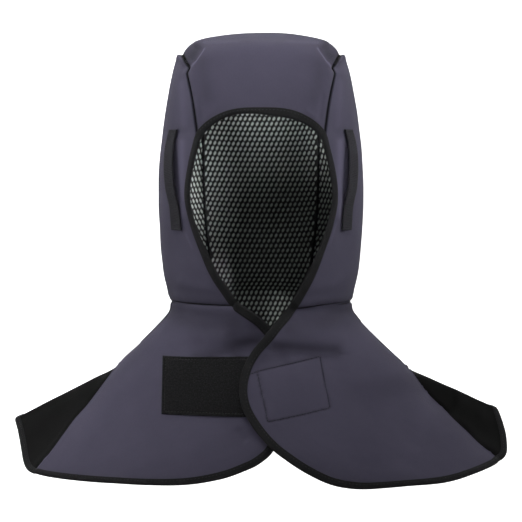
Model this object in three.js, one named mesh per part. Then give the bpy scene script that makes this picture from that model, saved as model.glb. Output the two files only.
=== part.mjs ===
// Welding balaclava: a three-panel cloth hood with a net lining, a neck drape whose
// right flap lies over the left one, one edge tape, two webbing loops and two patches.
// Millimetres. +X is the right side of the front view, -Y is the front, +Z is up.
// The origin is where the crown of the wearer's head bears on the lining.
import * as THREE from 'three';

// ---- driving sizes ----
const CLOTH = 1.2;             // outer cloth
const JOIN_GAP = 0.4;          // play between neighbouring pieces
const LINING_DEPTH = 2.0;      // outer face of the cloth to the outer face of the lining
const LINING = 1.0;
const LINING_SHORT = 2.0;      // lining edge behind the cloth edge
const TAPE_WIDTH = 8.5;        // edge tape round the face and on the flap fronts
const HEM_TAPE_WIDTH = 5.6;    // the same tape as it shows, rolled under, on the hem
const TAPE_PROUD = 0.3;        // tape above the cloth's outer face
const TAPE_DEEP = 2.9;         // tape below the cloth's outer face
const WEBBING_WIDTH = 16;
const WEBBING = 1.5;
const WEBBING_CLEAR = 0.9;     // sewn loop end above the cloth
const PATCH = 1.6;             // loop-pile and hook patches
const PATCH_CLEAR = 0.8;
const FLAP_LIFT = 4;           // each flap's distance from the chest surface where both overlap
const BEND = 0.36;             // handle length of a section curve, share of its chord
const SIDE_COLUMNS = 14;       // facets across a side panel
const CROWN_COLUMNS = 10;      // facets across the crown strip
const DRAPE_ROWS = 11;
const FLAP_COLUMNS = 12;
const BACK_COLUMNS = 14;       // facets from one shoulder seam to the middle of the back

const table = (columns, rows) => rows.map((r) => Object.fromEntries(columns.map((c, i) => [c, r[i]])));

// Side panel, a row per section from the neck seam up to the crown seam:
// front edge, its run-in angle and its lean to the right, widest line, back seam and its run-out angle.
const SIDE = table(
  ['front_x', 'front_y', 'front_z', 'lead', 'lean', 'wide_x', 'wide_z', 'back_x', 'back_y', 'back_z', 'trail'],
  [
    [33.3, -90.5, -278, 21, 3.7, 94.0, -278, 48, 84, -280, 38],
    [37.0, -93.5, -271, 24, 3.6, 96.8, -271, 50, 88, -272, 38],
    [46.7, -94.5, -256, 30, 2.1, 101.2, -256, 54, 95, -256, 38],
    [54.8, -93.0, -241, 36, 1.5, 103.6, -240, 57, 100, -239, 38],
    [61.8, -91.0, -221, 42, 1.0, 105.3, -219, 60, 106, -218, 38],
    [70.0, -89.0, -201, 48, 0.7, 106.5, -198, 62, 110, -196, 38],
    [74.4, -88.5, -181, 50, 0.2, 107.0, -178, 63, 112, -175, 38],
    [76.5, -89.5, -164, 51, 0.1, 107.1, -160, 64, 113, -156, 38],
    [73.5, -92.5, -141, 50, 0.0, 106.8, -139, 64, 112, -133, 38],
    [68.9, -96.5, -121, 47, 0.0, 105.3, -119, 64, 110, -111, 39],
    [64.2, -101.0, -104, 44, 0.0, 103.3, -101, 64, 106, -91, 40],
    [66.8, -101.0, -84, 46, 0.0, 100.6, -83, 64.5, 101, -74, 42],
    [68.9, -98.5, -70, 48, 0.0, 98.2, -69, 65, 95, -60, 45],
    [72.0, -93.0, -56, 51, 0.0, 95.7, -56, 66, 88, -49, 49],
    [74.4, -86.0, -44, 56, 0.0, 93.0, -44, 68, 80, -41, 55],
    [76.0, -74.0, -34, 64, 0.0, 90.8, -33, 71, 68, -34, 63],
    [78.0, -60.0, -27, 75, 0.0, 88.0, -24.5, 75, 55, -29, 73],
    [79.8, -45.0, -24, 87, 0.0, 82.0, -22.5, 78, 42, -26.5, 86],
  ],
);
const FOOT = 10;               // row where the crown seam leaves the face opening
const TOP = SIDE.length - 1;   // row that is the crown seam on top

// Crown strip, a row per station of its middle line: along 0..1 up the forehead, 1..2 over the top,
// 2..3 down the back; the roundness across and the share of the drop taken in beside the seams.
const CROWN = table(
  ['along', 'mid_y', 'mid_z', 'round', 'tuck'],
  [
    [0.00, -111.5, -78.0, 3.2, 0.00],
    [0.29, -113.0, -49.0, 3.0, 0.15],
    [0.43, -111.5, -34.0, 2.8, 0.20],
    [0.57, -106.5, -20.5, 2.6, 0.30],
    [0.71, -95.5, -12.5, 2.4, 0.40],
    [0.86, -76.0, -7.0, 2.3, 0.48],
    [1.00, -50.0, -2.0, 2.2, 0.53],
    [1.50, 0.0, 3.0, 2.2, 0.53],
    [2.00, 46.0, -2.0, 2.2, 0.50],
    [2.12, 84.0, -19.0, 2.1, 0.40],
    [2.24, 106.0, -46.0, 2.0, 0.25],
    [2.41, 121.0, -93.0, 2.0, 0.10],
    [2.59, 128.0, -157.0, 2.0, 0.00],
    [2.76, 120.5, -219.0, 2.0, 0.00],
    [2.88, 109.0, -257.0, 2.0, 0.00],
    [3.00, 97.0, -280.0, 2.0, 0.00],
  ],
);
const TUCK_SHARPNESS = 14;

// Drape, a row per level from the neck seam to the hem: the shoulder seam between grey and black cloth,
// the depth of the chest in front at that height, the shoulder ridge behind the seam and the middle of the back.
const DRAPE = table(
  ['drop', 'seam_x', 'seam_y', 'seam_z', 'front_depth', 'ridge_x', 'ridge_y', 'ridge_z', 'back_y', 'back_z'],
  [
    [0.00, 94.0, 0, -279.2, 97, 93.5, 9, -279.8, 97, -281.2],
    [0.04, 94.5, 0, -287.0, 97.5, 94.0, 9, -288.0, 101, -290],
    [0.10, 103.0, 0, -297.5, 99, 102.5, 10, -299.0, 106, -302],
    [0.26, 128.0, 0, -323.0, 105, 127.5, 11, -325.0, 118, -330],
    [0.43, 154.2, -1, -349.3, 113, 155.0, 12, -350.5, 130, -361],
    [0.60, 175.0, -11, -377.7, 122, 182.0, 12, -363.0, 138, -388],
    [0.73, 195.0, -26, -399.5, 131, 207.0, 12, -375.0, 144, -413],
    [0.89, 219.0, -45, -425.0, 141, 235.0, 12, -388.5, 149, -436],
    [1.00, 235.0, -56, -441.0, 146, 249.0, 12, -397.0, 152, -452],
  ],
);
const RIDGE_SWELL = 6;         // outward swell of the drape's end between seam and ridge

// Lining that hangs free below the neck seam: fall below it, and scale of the neck ring in front and at the back.
const SKIRT = table(
  ['fall', 'front', 'back'],
  [[0, 1, 1], [0.8, 0.97, 0.985], [24, 0.95, 1.02], [54, 0.92, 1.06]],
);

// Cloth edges of the two flaps in the front view, from the neck seam down the front and along the hem.
const FLAP_COLUMNS_XZ = ['x', 'z'];
const RIGHT_FRONT = table(FLAP_COLUMNS_XZ, [
  [37.0, -279.2], [26.6, -291.3], [17.5, -301.0], [10.5, -310.7], [0.5, -320.5], [-7.0, -330.3],
  [-13.0, -344.9], [-15.4, -359.4], [-12.9, -373.8], [-5.0, -388.0], [5.9, -402.2], [18.8, -414.6],
]);
const RIGHT_HEM = table(FLAP_COLUMNS_XZ, [
  [18.8, -414.6], [48.3, -433.9], [78.0, -447.0], [107.9, -450.9], [138.2, -450.4], [179.6, -447.5], [220.0, -443.3], [235.0, -441.0],
]);
const LEFT_FRONT = table(FLAP_COLUMNS_XZ, [
  [-29.6, -279.2], [-18.1, -291.5], [-9.1, -301.5], [-2.0, -311.4], [7.0, -323.2], [13.0, -336.9],
  [15.0, -354.4], [14.0, -374.7], [9.9, -396.6], [3.0, -414.6], [-10.9, -426.0],
]);
const LEFT_HEM = table(FLAP_COLUMNS_XZ, [
  [-10.9, -426.0], [-40.5, -439.4], [-80.1, -446.5], [-120.1, -447.7], [-160.9, -447.0], [-203.1, -445.5], [-235.0, -441.0],
]);

// Soft folds of the flaps in the front view: a line, its half-width and its rise towards the front.
const FOLDS = table(
  ['side', 'x0', 'z0', 'x1', 'z1', 'width', 'rise'],
  [
    [1, 16, -314, 84, -326, 11, -3.5],
    [1, 110, -378, 150, -408, 16, -3.0],
    [1, 40, -420, 95, -440, 14, 2.0],
    [-1, -62, -318, -14, -322, 10, -2.5],
    [-1, -36, -398, -8, -404, 14, -2.5],
    [-1, -150, -360, -190, -425, 16, 3.0],
  ],
);

// Webbing loops: row of the side panel, place across it, and free height above the cloth.
const STRAP = table(
  ['row', 'across', 'free'],
  [
    [10.25, 0.163, 0], [9.7, 0.158, 0], [9.2, 0.143, 2.5], [8.6, 0.120, 5.5], [7.8, 0.094, 7.5],
    [7.0, 0.080, 8.0], [6.2, 0.086, 6.8], [5.6, 0.106, 3.8], [5.2, 0.122, 1.0], [4.85, 0.136, 0], [4.55, 0.142, 0],
  ],
);

// Patch corners in the front view: upper left, upper right, lower right, lower left.
const LOOP_CORNERS = table(['x', 'z'], [[-99.3, -330.2], [-22.5, -329.5], [-23.5, -386.5], [-99.4, -385.5]]);
const HOOK_CORNERS = table(['x', 'z'], [[-4.0, -341.4], [59.3, -328.4], [68.9, -377.8], [6.9, -389.9]]);

const GREY_CLOTH = { color: 0x4d4a59, roughness: 0.92, metalness: 0 };
const BLACK_CLOTH = { color: 0x1d1d1d, roughness: 0.95, metalness: 0 };
const BLACK_TAPE = { color: 0x1c1b1f, roughness: 0.75, metalness: 0 };
const NET = { color: 0x55584f, roughness: 0.85, metalness: 0 };
const PILE = { color: 0x1f1f21, roughness: 0.98, metalness: 0 };

// ---- small helpers ----
const V = (x, y, z) => new THREE.Vector3(x, y, z);
const rad = (d) => (d * Math.PI) / 180;
const clamp01 = (t) => Math.min(1, Math.max(0, t));
const ease = (t) => { const c = clamp01(t); return c * c * (3 - 2 * c); };

// Smooth value through knots without overshoot, carried on straight past the ends.
function through(knots, values, t) {
  const n = knots.length - 1;
  const slope = (k) => (values[k + 1] - values[k]) / (knots[k + 1] - knots[k]);
  if (t <= knots[0]) return values[0] + slope(0) * (t - knots[0]);
  if (t >= knots[n]) return values[n] + slope(n - 1) * (t - knots[n]);
  let i = 0;
  while (t > knots[i + 1]) i += 1;
  const tangent = (k) => {
    if (k === 0) return slope(0);
    if (k === n) return slope(n - 1);
    const a = slope(k - 1);
    const b = slope(k);
    return a * b <= 0 ? 0 : (2 * a * b) / (a + b);
  };
  const h = knots[i + 1] - knots[i];
  const f = (t - knots[i]) / h;
  const g = 1 - f;
  return values[i] * (1 + 2 * f) * g * g + tangent(i) * h * f * g * g
    + values[i + 1] * f * f * (3 - 2 * f) - tangent(i + 1) * h * f * f * g;
}
const column = (rows, name) => rows.map((r) => r[name]);
const indices = (rows) => rows.map((_, i) => i);
const steps = (n) => Array.from({ length: n + 1 }, (_, i) => i / n);

// A line of x,z rows as a function of the share of its length.
function line(rows) {
  const run = [0];
  for (let i = 1; i < rows.length; i += 1) run.push(run[i - 1] + Math.hypot(rows[i].x - rows[i - 1].x, rows[i].z - rows[i - 1].z));
  const share = run.map((r) => r / run[run.length - 1]);
  return (t) => ({ x: through(share, column(rows, 'x'), t), z: through(share, column(rows, 'z'), t) });
}

// ---- hood ----
const LOWER = SIDE.slice(0, FOOT + 1);
const UPPER = SIDE.slice(FOOT);
function frontEdge(row, name) {
  return row <= FOOT ? through(indices(LOWER), column(LOWER, name), row) : through(indices(UPPER), column(UPPER, name), row - FOOT);
}
const sideValue = (name, row) => through(indices(SIDE), column(SIDE, name), row);

function sidePoint(row, across, hand) {
  const lean = sideValue('lean', row) * hand;
  const front = V(frontEdge(row, 'front_x') + lean, frontEdge(row, 'front_y'), frontEdge(row, 'front_z'));
  const wide = V(sideValue('wide_x', row), 0, sideValue('wide_z', row));
  const back = V(sideValue('back_x', row), sideValue('back_y', row), sideValue('back_z', row));
  const lead = rad(sideValue('lead', row));
  const trail = rad(sideValue('trail', row));
  const ahead = across <= 0.5;
  const [a, d] = ahead ? [front, wide] : [wide, back];
  const reach = BEND * Math.hypot(d.x - a.x, d.y - a.y);
  const third = (d.z - a.z) / 3;
  const b = ahead ? V(a.x + reach * Math.cos(lead), a.y + reach * Math.sin(lead), a.z + third) : V(a.x, a.y + reach, a.z + third);
  const c = ahead ? V(d.x, d.y - reach, d.z - third) : V(d.x + reach * Math.cos(trail), d.y - reach * Math.sin(trail), d.z - third);
  const p = new THREE.CubicBezierCurve3(a, b, c, d).getPoint(ahead ? across * 2 : across * 2 - 1);
  return V(p.x * hand, p.y, p.z);
}

function crownPoint(seam, along, w) {
  const at = (name) => through(column(CROWN, 'along'), column(CROWN, name), along);
  const m = Math.abs(w);
  const share = (1 - at('tuck')) * m ** at('round') + at('tuck') * m ** TUCK_SHARPNESS;
  return V(seam.x * w, at('mid_y') + (seam.y - at('mid_y')) * m * m, at('mid_z') + (seam.z - at('mid_z')) * share);
}

// Grids of the three hood panels that share their seam points.
function hoodGrids(rows, columns, strips) {
  const across = steps(columns);
  const side = (hand) => rows.map((r) => across.map((u) => sidePoint(r, u, hand)));
  const right = side(1);
  const left = side(-1);
  const stations = [];
  rows.forEach((r, i) => { if (r >= FOOT) stations.push({ along: (r - FOOT) / (TOP - FOOT), seam: right[i][0] }); });
  across.slice(1).forEach((u, k) => stations.push({ along: 1 + u, seam: right[rows.length - 1][k + 1] }));
  rows.slice(0, -1).reverse().forEach((r) => stations.push({ along: 2 + (TOP - r) / TOP, seam: right[rows.indexOf(r)][columns] }));
  const crown = stations.map((s) => steps(strips).map((t) => crownPoint(s.seam, s.along, Math.sin((t - 0.5) * Math.PI))));
  return { right, left, crown };
}

// ---- drape ----
const drapeValue = (name, drop) => through(column(DRAPE, 'drop'), column(DRAPE, name), drop);
const DEPTH_KNOTS = DRAPE.map((r) => -r.seam_z);
const levelValue = (name, z) => through(DEPTH_KNOTS, column(DRAPE, name), -z);

// Depth of the chest surface: at each height an ellipse from the middle to the shoulder seam.
function chestY(x, z) {
  const depth = levelValue('front_depth', z);
  const seamX = levelValue('seam_x', z);
  const seamY = levelValue('seam_y', z);
  const half = seamX / Math.sqrt(1 - (seamY / depth) ** 2);
  return -depth * Math.sqrt(Math.max(0, 1 - (x / half) ** 2));
}

function foldRise(x, z, hand) {
  let rise = 0;
  FOLDS.filter((f) => f.side === hand).forEach((f) => {
    const dx = f.x1 - f.x0;
    const dz = f.z1 - f.z0;
    const t = clamp01(((x - f.x0) * dx + (z - f.z0) * dz) / (dx * dx + dz * dz));
    const away = Math.hypot(x - f.x0 - t * dx, z - f.z0 - t * dz) / f.width;
    rise += f.rise * Math.exp(-away * away);
  });
  return rise;
}

// Height of a flap at a place in the front view: right flap in front, left flap behind.
function flapPoint(x, z, hand) {
  const lift = FLAP_LIFT * ease((-280 - z) / 22) * (1 - ease((Math.abs(x) - 35) / 75));
  const rim = ease((-281 - z) / 14);
  return V(x, chestY(x, z) - hand * lift - rim * foldRise(x, z, hand), z);
}

function flapGrid(frontRows, hemRows, hand) {
  const front = line(frontRows);
  const hem = line(hemRows);
  const seam = (v) => ({ x: hand * drapeValue('seam_x', v), z: drapeValue('seam_z', v) });
  const corner = { f0: front(0), f1: front(1), s0: seam(0), s1: seam(1) };
  return steps(DRAPE_ROWS).map((v) => steps(FLAP_COLUMNS).map((t) => {
    const u = Math.sin((t * Math.PI) / 2);
    const mix = (k) => {
      const neck = corner.f0[k] + (corner.s0[k] - corner.f0[k]) * u;
      const ruled = (1 - u) * front(v)[k] + u * seam(v)[k] + (1 - v) * neck + v * hem(u)[k];
      return ruled - (1 - u) * (1 - v) * corner.f0[k] - u * (1 - v) * corner.s0[k] - (1 - u) * v * corner.f1[k] - u * v * corner.s1[k];
    };
    if (t === 1) return V(hand * drapeValue('seam_x', v), drapeValue('seam_y', v), drapeValue('seam_z', v));
    return flapPoint(mix('x'), mix('z'), hand);
  }));
}

// Black panel: from the right shoulder seam over the ridge, round the back to the left one.
const RIDGE_AT = 0.26;         // share of the half panel in front of the ridge
function backPoint(v, t) {
  const hand = t <= 0.5 ? 1 : -1;
  const half = t <= 0.5 ? t * 2 : 2 - t * 2;
  const seam = V(drapeValue('seam_x', v), drapeValue('seam_y', v), drapeValue('seam_z', v));
  const ridge = V(drapeValue('ridge_x', v), drapeValue('ridge_y', v), drapeValue('ridge_z', v));
  const mid = V(0, drapeValue('back_y', v), drapeValue('back_z', v));
  if (half <= RIDGE_AT) {
    const s = half / RIDGE_AT;
    const swell = RIDGE_SWELL * Math.sin(Math.PI * s) * ease((v - 0.4) / 0.6);
    return V(hand * (seam.x + (ridge.x - seam.x) * s + swell), seam.y + (ridge.y - seam.y) * s, seam.z + (ridge.z - seam.z) * Math.sin((s * Math.PI) / 2));
  }
  const a = (((half - RIDGE_AT) / (1 - RIDGE_AT)) * Math.PI) / 2;
  return V(hand * ridge.x * Math.cos(a) ** 0.85, ridge.y + (mid.y - ridge.y) * Math.sin(a), ridge.z + (mid.z - ridge.z) * (1 - Math.cos(a)));
}
const backGrid = () => steps(DRAPE_ROWS).map((v) => steps(BACK_COLUMNS * 2).map((t) => backPoint(v, t)));

// ---- sheets to closed walls ----
const key = (p) => `${Math.round(p.x * 1000)},${Math.round(p.y * 1000)},${Math.round(p.z * 1000)}`;

// Joins grids at their shared points; each grid keeps its own triangles, and the normals are those of the joined sheet.
function join(grids) {
  const points = [];
  const found = new Map();
  const index = (p) => {
    const k = key(p);
    if (!found.has(k)) { found.set(k, points.length); points.push(p.clone()); }
    return found.get(k);
  };
  const sheets = {};
  Object.entries(grids).forEach(([name, { grid, flip }]) => {
    const ids = grid.map((row) => row.map(index));
    const triangles = [];
    for (let i = 0; i + 1 < ids.length; i += 1) {
      for (let j = 0; j + 1 < ids[i].length; j += 1) {
        const [a, b, c, d] = [ids[i][j], ids[i][j + 1], ids[i + 1][j + 1], ids[i + 1][j]];
        [[a, b, c], [a, c, d]].forEach((t) => { if (new Set(t).size === 3) triangles.push(flip ? [t[0], t[2], t[1]] : t); });
      }
    }
    sheets[name] = { ids, triangles };
  });
  const normals = points.map(() => V(0, 0, 0));
  Object.values(sheets).forEach(({ triangles }) => triangles.forEach(([a, b, c]) => {
    const n = points[b].clone().sub(points[a]).cross(points[c].clone().sub(points[a]));
    [a, b, c].forEach((i) => normals[i].add(n));
  }));
  normals.forEach((n) => n.normalize());
  return { points, normals, sheets };
}

function mesh(name, positions, triangles, look) {
  const geometry = new THREE.BufferGeometry();
  geometry.setAttribute('position', new THREE.Float32BufferAttribute(positions.flatMap((p) => [p.x, p.y, p.z]), 3));
  geometry.setIndex(triangles.flat());
  geometry.computeVertexNormals();
  const m = new THREE.Mesh(geometry, new THREE.MeshStandardMaterial(look));
  m.name = name;
  return m;
}

// A wall between two depths under the sheet, its edges drawn in.
function wall(name, sheet, triangles, outer, inner, look, drawIn = JOIN_GAP / 2) {
  const edge = new Map();
  triangles.forEach((t) => t.forEach((a, i) => edge.set(`${a},${t[(i + 1) % 3]}`, [a, t[(i + 1) % 3]])));
  const rim = [...edge.values()].filter(([a, b]) => !edge.has(`${b},${a}`));
  const onRim = new Set(rim.flat());
  const used = [...new Set(triangles.flat())];
  const pull = new Map([...onRim].map((i) => [i, V(0, 0, 0)]));
  triangles.forEach((t) => t.forEach((i) => {
    if (!onRim.has(i)) return;
    t.forEach((j) => { if (j !== i && !onRim.has(j)) pull.get(i).add(sheet.points[j].clone().sub(sheet.points[i]).normalize()); });
  }));
  // a corner whose neighbours all lie on the rim is drawn in towards the middle of them
  onRim.forEach((i) => {
    if (pull.get(i).length() > 0.2) return;
    triangles.forEach((t) => { if (t.includes(i)) t.forEach((j) => { if (j !== i) pull.get(i).add(sheet.points[j].clone().sub(sheet.points[i]).normalize()); }); });
  });
  const place = new Map(used.map((i, k) => [i, k]));
  const at = (i, depth) => {
    const p = sheet.points[i].clone();
    if (onRim.has(i)) {
      const d = pull.get(i).clone();
      d.addScaledVector(sheet.normals[i], -d.dot(sheet.normals[i])).normalize();
      p.addScaledVector(d, drawIn);
    }
    return p.addScaledVector(sheet.normals[i], -depth);
  };
  const positions = [...used.map((i) => at(i, outer)), ...used.map((i) => at(i, inner))];
  const n = used.length;
  const faces = [];
  triangles.forEach(([a, b, c]) => {
    faces.push([place.get(a), place.get(b), place.get(c)]);
    faces.push([place.get(a) + n, place.get(c) + n, place.get(b) + n]);
  });
  rim.forEach(([a, b]) => {
    const [p, q] = [place.get(a), place.get(b)];
    faces.push([p, p + n, q + n], [p, q + n, q]);
  });
  return mesh(name, positions, faces, look);
}

// A band swept along rings of section points; open bands get end caps.
function sweep(name, rings, closed, look) {
  const m = rings[0].length;
  const faces = [];
  const count = closed ? rings.length : rings.length - 1;
  for (let i = 0; i < count; i += 1) {
    const a = i * m;
    const b = ((i + 1) % rings.length) * m;
    for (let j = 0; j < m; j += 1) {
      const k = (j + 1) % m;
      faces.push([a + j, b + j, b + k], [a + j, b + k, a + k]);
    }
  }
  if (!closed) {
    const last = (rings.length - 1) * m;
    for (let j = 1; j + 1 < m; j += 1) faces.push([0, j, j + 1], [last, last + j + 1, last + j]);
  }
  return mesh(name, rings.flat(), faces, look);
}

// ---- pieces ----
const group = new THREE.Group();
group.name = 'welding_balaclava';

const fineRows = indices(SIDE);
const hood = hoodGrids(fineRows, SIDE_COLUMNS, CROWN_COLUMNS);
const hoodSheet = join({
  crown: { grid: hood.crown, flip: false },
  right: { grid: hood.right, flip: false },
  left: { grid: hood.left, flip: true },
});
group.add(wall('crown_panel', hoodSheet, hoodSheet.sheets.crown.triangles, 0, CLOTH, GREY_CLOTH));
group.add(wall('side_panel_L', hoodSheet, hoodSheet.sheets.left.triangles, 0, CLOTH, GREY_CLOTH));
group.add(wall('side_panel_R', hoodSheet, hoodSheet.sheets.right.triangles, 0, CLOTH, GREY_CLOTH));

const coarseRows = fineRows.filter((r) => r % 2 === 0 || r === TOP);
const inner = hoodGrids(coarseRows, SIDE_COLUMNS / 2, CROWN_COLUMNS);
const neckRing = [...inner.right[0], ...inner.crown[inner.crown.length - 1].slice(1, -1).reverse(), ...[...inner.left[0]].reverse()];
const skirt = SKIRT.map((s) => neckRing.map((p) => {
  const front = p.y < 0 ? 1 : 0;
  const scale = front * s.front + (1 - front) * s.back;
  return V(p.x * Math.min(1, s.front + 0.02), p.y * scale, p.z - s.fall);
}));
const liningSheet = join({
  crown: { grid: inner.crown, flip: false },
  right: { grid: inner.right, flip: false },
  left: { grid: inner.left, flip: true },
  skirt: { grid: skirt, flip: true },
});
const liningTriangles = Object.values(liningSheet.sheets).flatMap((s) => s.triangles);
group.add(wall('hood_lining', liningSheet, liningTriangles, LINING_DEPTH, LINING_DEPTH + LINING, NET, LINING_SHORT));

const rightFlap = flapGrid(RIGHT_FRONT, RIGHT_HEM, 1);
const leftFlap = flapGrid(LEFT_FRONT, LEFT_HEM, -1);
const drapeSheet = join({
  right: { grid: rightFlap, flip: true },
  left: { grid: leftFlap, flip: false },
  back: { grid: backGrid(), flip: true },
});
group.add(wall('drape_front_L', drapeSheet, drapeSheet.sheets.left.triangles, 0, CLOTH, GREY_CLOTH));
group.add(wall('drape_front_R', drapeSheet, drapeSheet.sheets.right.triangles, 0, CLOTH, GREY_CLOTH));
group.add(wall('drape_back', drapeSheet, drapeSheet.sheets.back.triangles, 0, CLOTH, BLACK_CLOTH));

// Edge tape: one closed run from the middle of the brow down the right, round the hem and up the left.
function tapeStops() {
  const stops = [];
  const add = (sheet, id, width) => stops.push({ p: sheet.points[id], n: sheet.normals[id], width });
  const h = hoodSheet.sheets;
  const brow = h.crown.ids[0];
  const mid = CROWN_COLUMNS / 2;
  brow.slice(mid).forEach((id) => add(hoodSheet, id, TAPE_WIDTH));
  for (let r = FOOT - 1; r >= 0; r -= 1) add(hoodSheet, h.right.ids[r][0], TAPE_WIDTH);
  const d = drapeSheet.sheets;
  for (let i = 1; i <= DRAPE_ROWS; i += 1) add(drapeSheet, d.right.ids[i][0], TAPE_WIDTH);
  const hemWidth = (j) => HEM_TAPE_WIDTH + (TAPE_WIDTH - HEM_TAPE_WIDTH) * (1 - ease(j / (FLAP_COLUMNS * 0.4)));
  for (let j = 1; j <= FLAP_COLUMNS; j += 1) add(drapeSheet, d.right.ids[DRAPE_ROWS][j], hemWidth(j));
  for (let j = 1; j <= BACK_COLUMNS * 2; j += 1) add(drapeSheet, d.back.ids[DRAPE_ROWS][j], HEM_TAPE_WIDTH);
  for (let j = FLAP_COLUMNS - 1; j >= 0; j -= 1) add(drapeSheet, d.left.ids[DRAPE_ROWS][j], hemWidth(j));
  for (let i = DRAPE_ROWS - 1; i >= 1; i -= 1) add(drapeSheet, d.left.ids[i][0], TAPE_WIDTH);
  for (let r = 0; r < FOOT; r += 1) add(hoodSheet, h.left.ids[r][0], TAPE_WIDTH);
  brow.slice(0, mid).forEach((id) => add(hoodSheet, id, TAPE_WIDTH));
  return stops;
}
const stops = tapeStops();
const tapeRings = stops.map((s, i) => {
  const before = stops[(i + stops.length - 1) % stops.length].p;
  const after = stops[(i + 1) % stops.length].p;
  const out = after.clone().sub(before).cross(s.n).normalize();
  const at = (reach, depth) => s.p.clone().addScaledVector(out, reach).addScaledVector(s.n, -depth);
  const half = (TAPE_DEEP - TAPE_PROUD) / 2;
  return [
    at(JOIN_GAP / 2, TAPE_DEEP), at(s.width - 1, TAPE_DEEP), at(s.width, half), at(s.width - 1, -TAPE_PROUD), at(JOIN_GAP / 2, -TAPE_PROUD),
  ];
});
group.add(sweep('edge_tape', tapeRings, true, BLACK_TAPE));

// Webbing loops
function strapLoop(name, hand) {
  const stopsAlong = steps(16).map((t) => t * (STRAP.length - 1));
  const path = stopsAlong.map((k) => {
    const at = (c) => through(indices(STRAP), column(STRAP, c), k);
    const p = sidePoint(at('row'), at('across'), hand);
    const wide = sidePoint(at('row'), at('across') + 0.01, hand).sub(sidePoint(at('row'), at('across') - 0.01, hand)).normalize();
    const up = sidePoint(at('row') + 0.05, at('across'), hand).sub(sidePoint(at('row') - 0.05, at('across'), hand)).normalize();
    const n = wide.clone().cross(up).multiplyScalar(hand).normalize();
    return { p: p.addScaledVector(n, WEBBING_CLEAR + WEBBING / 2 + at('free')), wide, n };
  });
  const rings = path.map((s, i) => {
    const run = path[Math.min(i + 1, path.length - 1)].p.clone().sub(path[Math.max(i - 1, 0)].p).normalize();
    const wide = s.wide.clone().addScaledVector(run, -s.wide.dot(run)).normalize();
    const n = wide.clone().cross(run).normalize();
    const at = (a, b) => s.p.clone().addScaledVector(wide, (a * WEBBING_WIDTH) / 2).addScaledVector(n, (b * WEBBING) / 2);
    return [at(-1, -1), at(1, -1), at(1, 1), at(-1, 1)];
  });
  return sweep(name, rings, false, BLACK_TAPE);
}
group.add(strapLoop('strap_loop_L', -1));
group.add(strapLoop('strap_loop_R', 1));

// Patches: the loop pile on the outer face of the left flap, the hooks on the inner face of the right flap.
function patch(name, corners, hand, outer, innerDepth, look) {
  const grid = steps(5).map((v) => steps(6).map((u) => {
    const mix = (k) => (1 - v) * ((1 - u) * corners[0][k] + u * corners[1][k]) + v * ((1 - u) * corners[3][k] + u * corners[2][k]);
    return flapPoint(mix('x'), mix('z'), hand);
  }));
  const sheet = join({ patch: { grid, flip: true } });
  return wall(name, sheet, sheet.sheets.patch.triangles, outer, innerDepth, look);
}
group.add(patch('loop_patch', LOOP_CORNERS, -1, -PATCH_CLEAR - PATCH, -PATCH_CLEAR, PILE));
group.add(patch('hook_patch', HOOK_CORNERS, 1, CLOTH + PATCH_CLEAR, CLOTH + PATCH_CLEAR + PATCH, PILE));

export default group;
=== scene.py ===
"""Looks of the welding balaclava: cloth hood, net lining, neck drape, edge tape, webbing loops and patches."""
import math

import bpy
import numpy as np
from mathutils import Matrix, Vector


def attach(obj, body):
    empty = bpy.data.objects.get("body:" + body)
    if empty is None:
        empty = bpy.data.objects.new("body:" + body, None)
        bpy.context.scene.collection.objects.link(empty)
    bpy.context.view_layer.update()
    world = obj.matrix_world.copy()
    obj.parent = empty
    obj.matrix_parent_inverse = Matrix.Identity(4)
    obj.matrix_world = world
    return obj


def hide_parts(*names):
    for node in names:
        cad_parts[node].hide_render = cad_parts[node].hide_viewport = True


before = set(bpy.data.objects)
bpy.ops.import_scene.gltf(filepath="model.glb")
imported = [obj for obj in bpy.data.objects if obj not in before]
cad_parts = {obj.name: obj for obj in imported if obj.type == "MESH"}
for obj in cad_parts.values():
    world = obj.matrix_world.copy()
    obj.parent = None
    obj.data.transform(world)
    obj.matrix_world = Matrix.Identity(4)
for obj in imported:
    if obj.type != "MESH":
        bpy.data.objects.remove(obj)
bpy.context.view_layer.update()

MM = 0.001


# ------------------------------------------------------------------ sizes (mm), as in the CAD part
def table(columns, rows):
    return {c: np.array([r[i] for r in rows], float) for i, c in enumerate(columns.split())}


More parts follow.
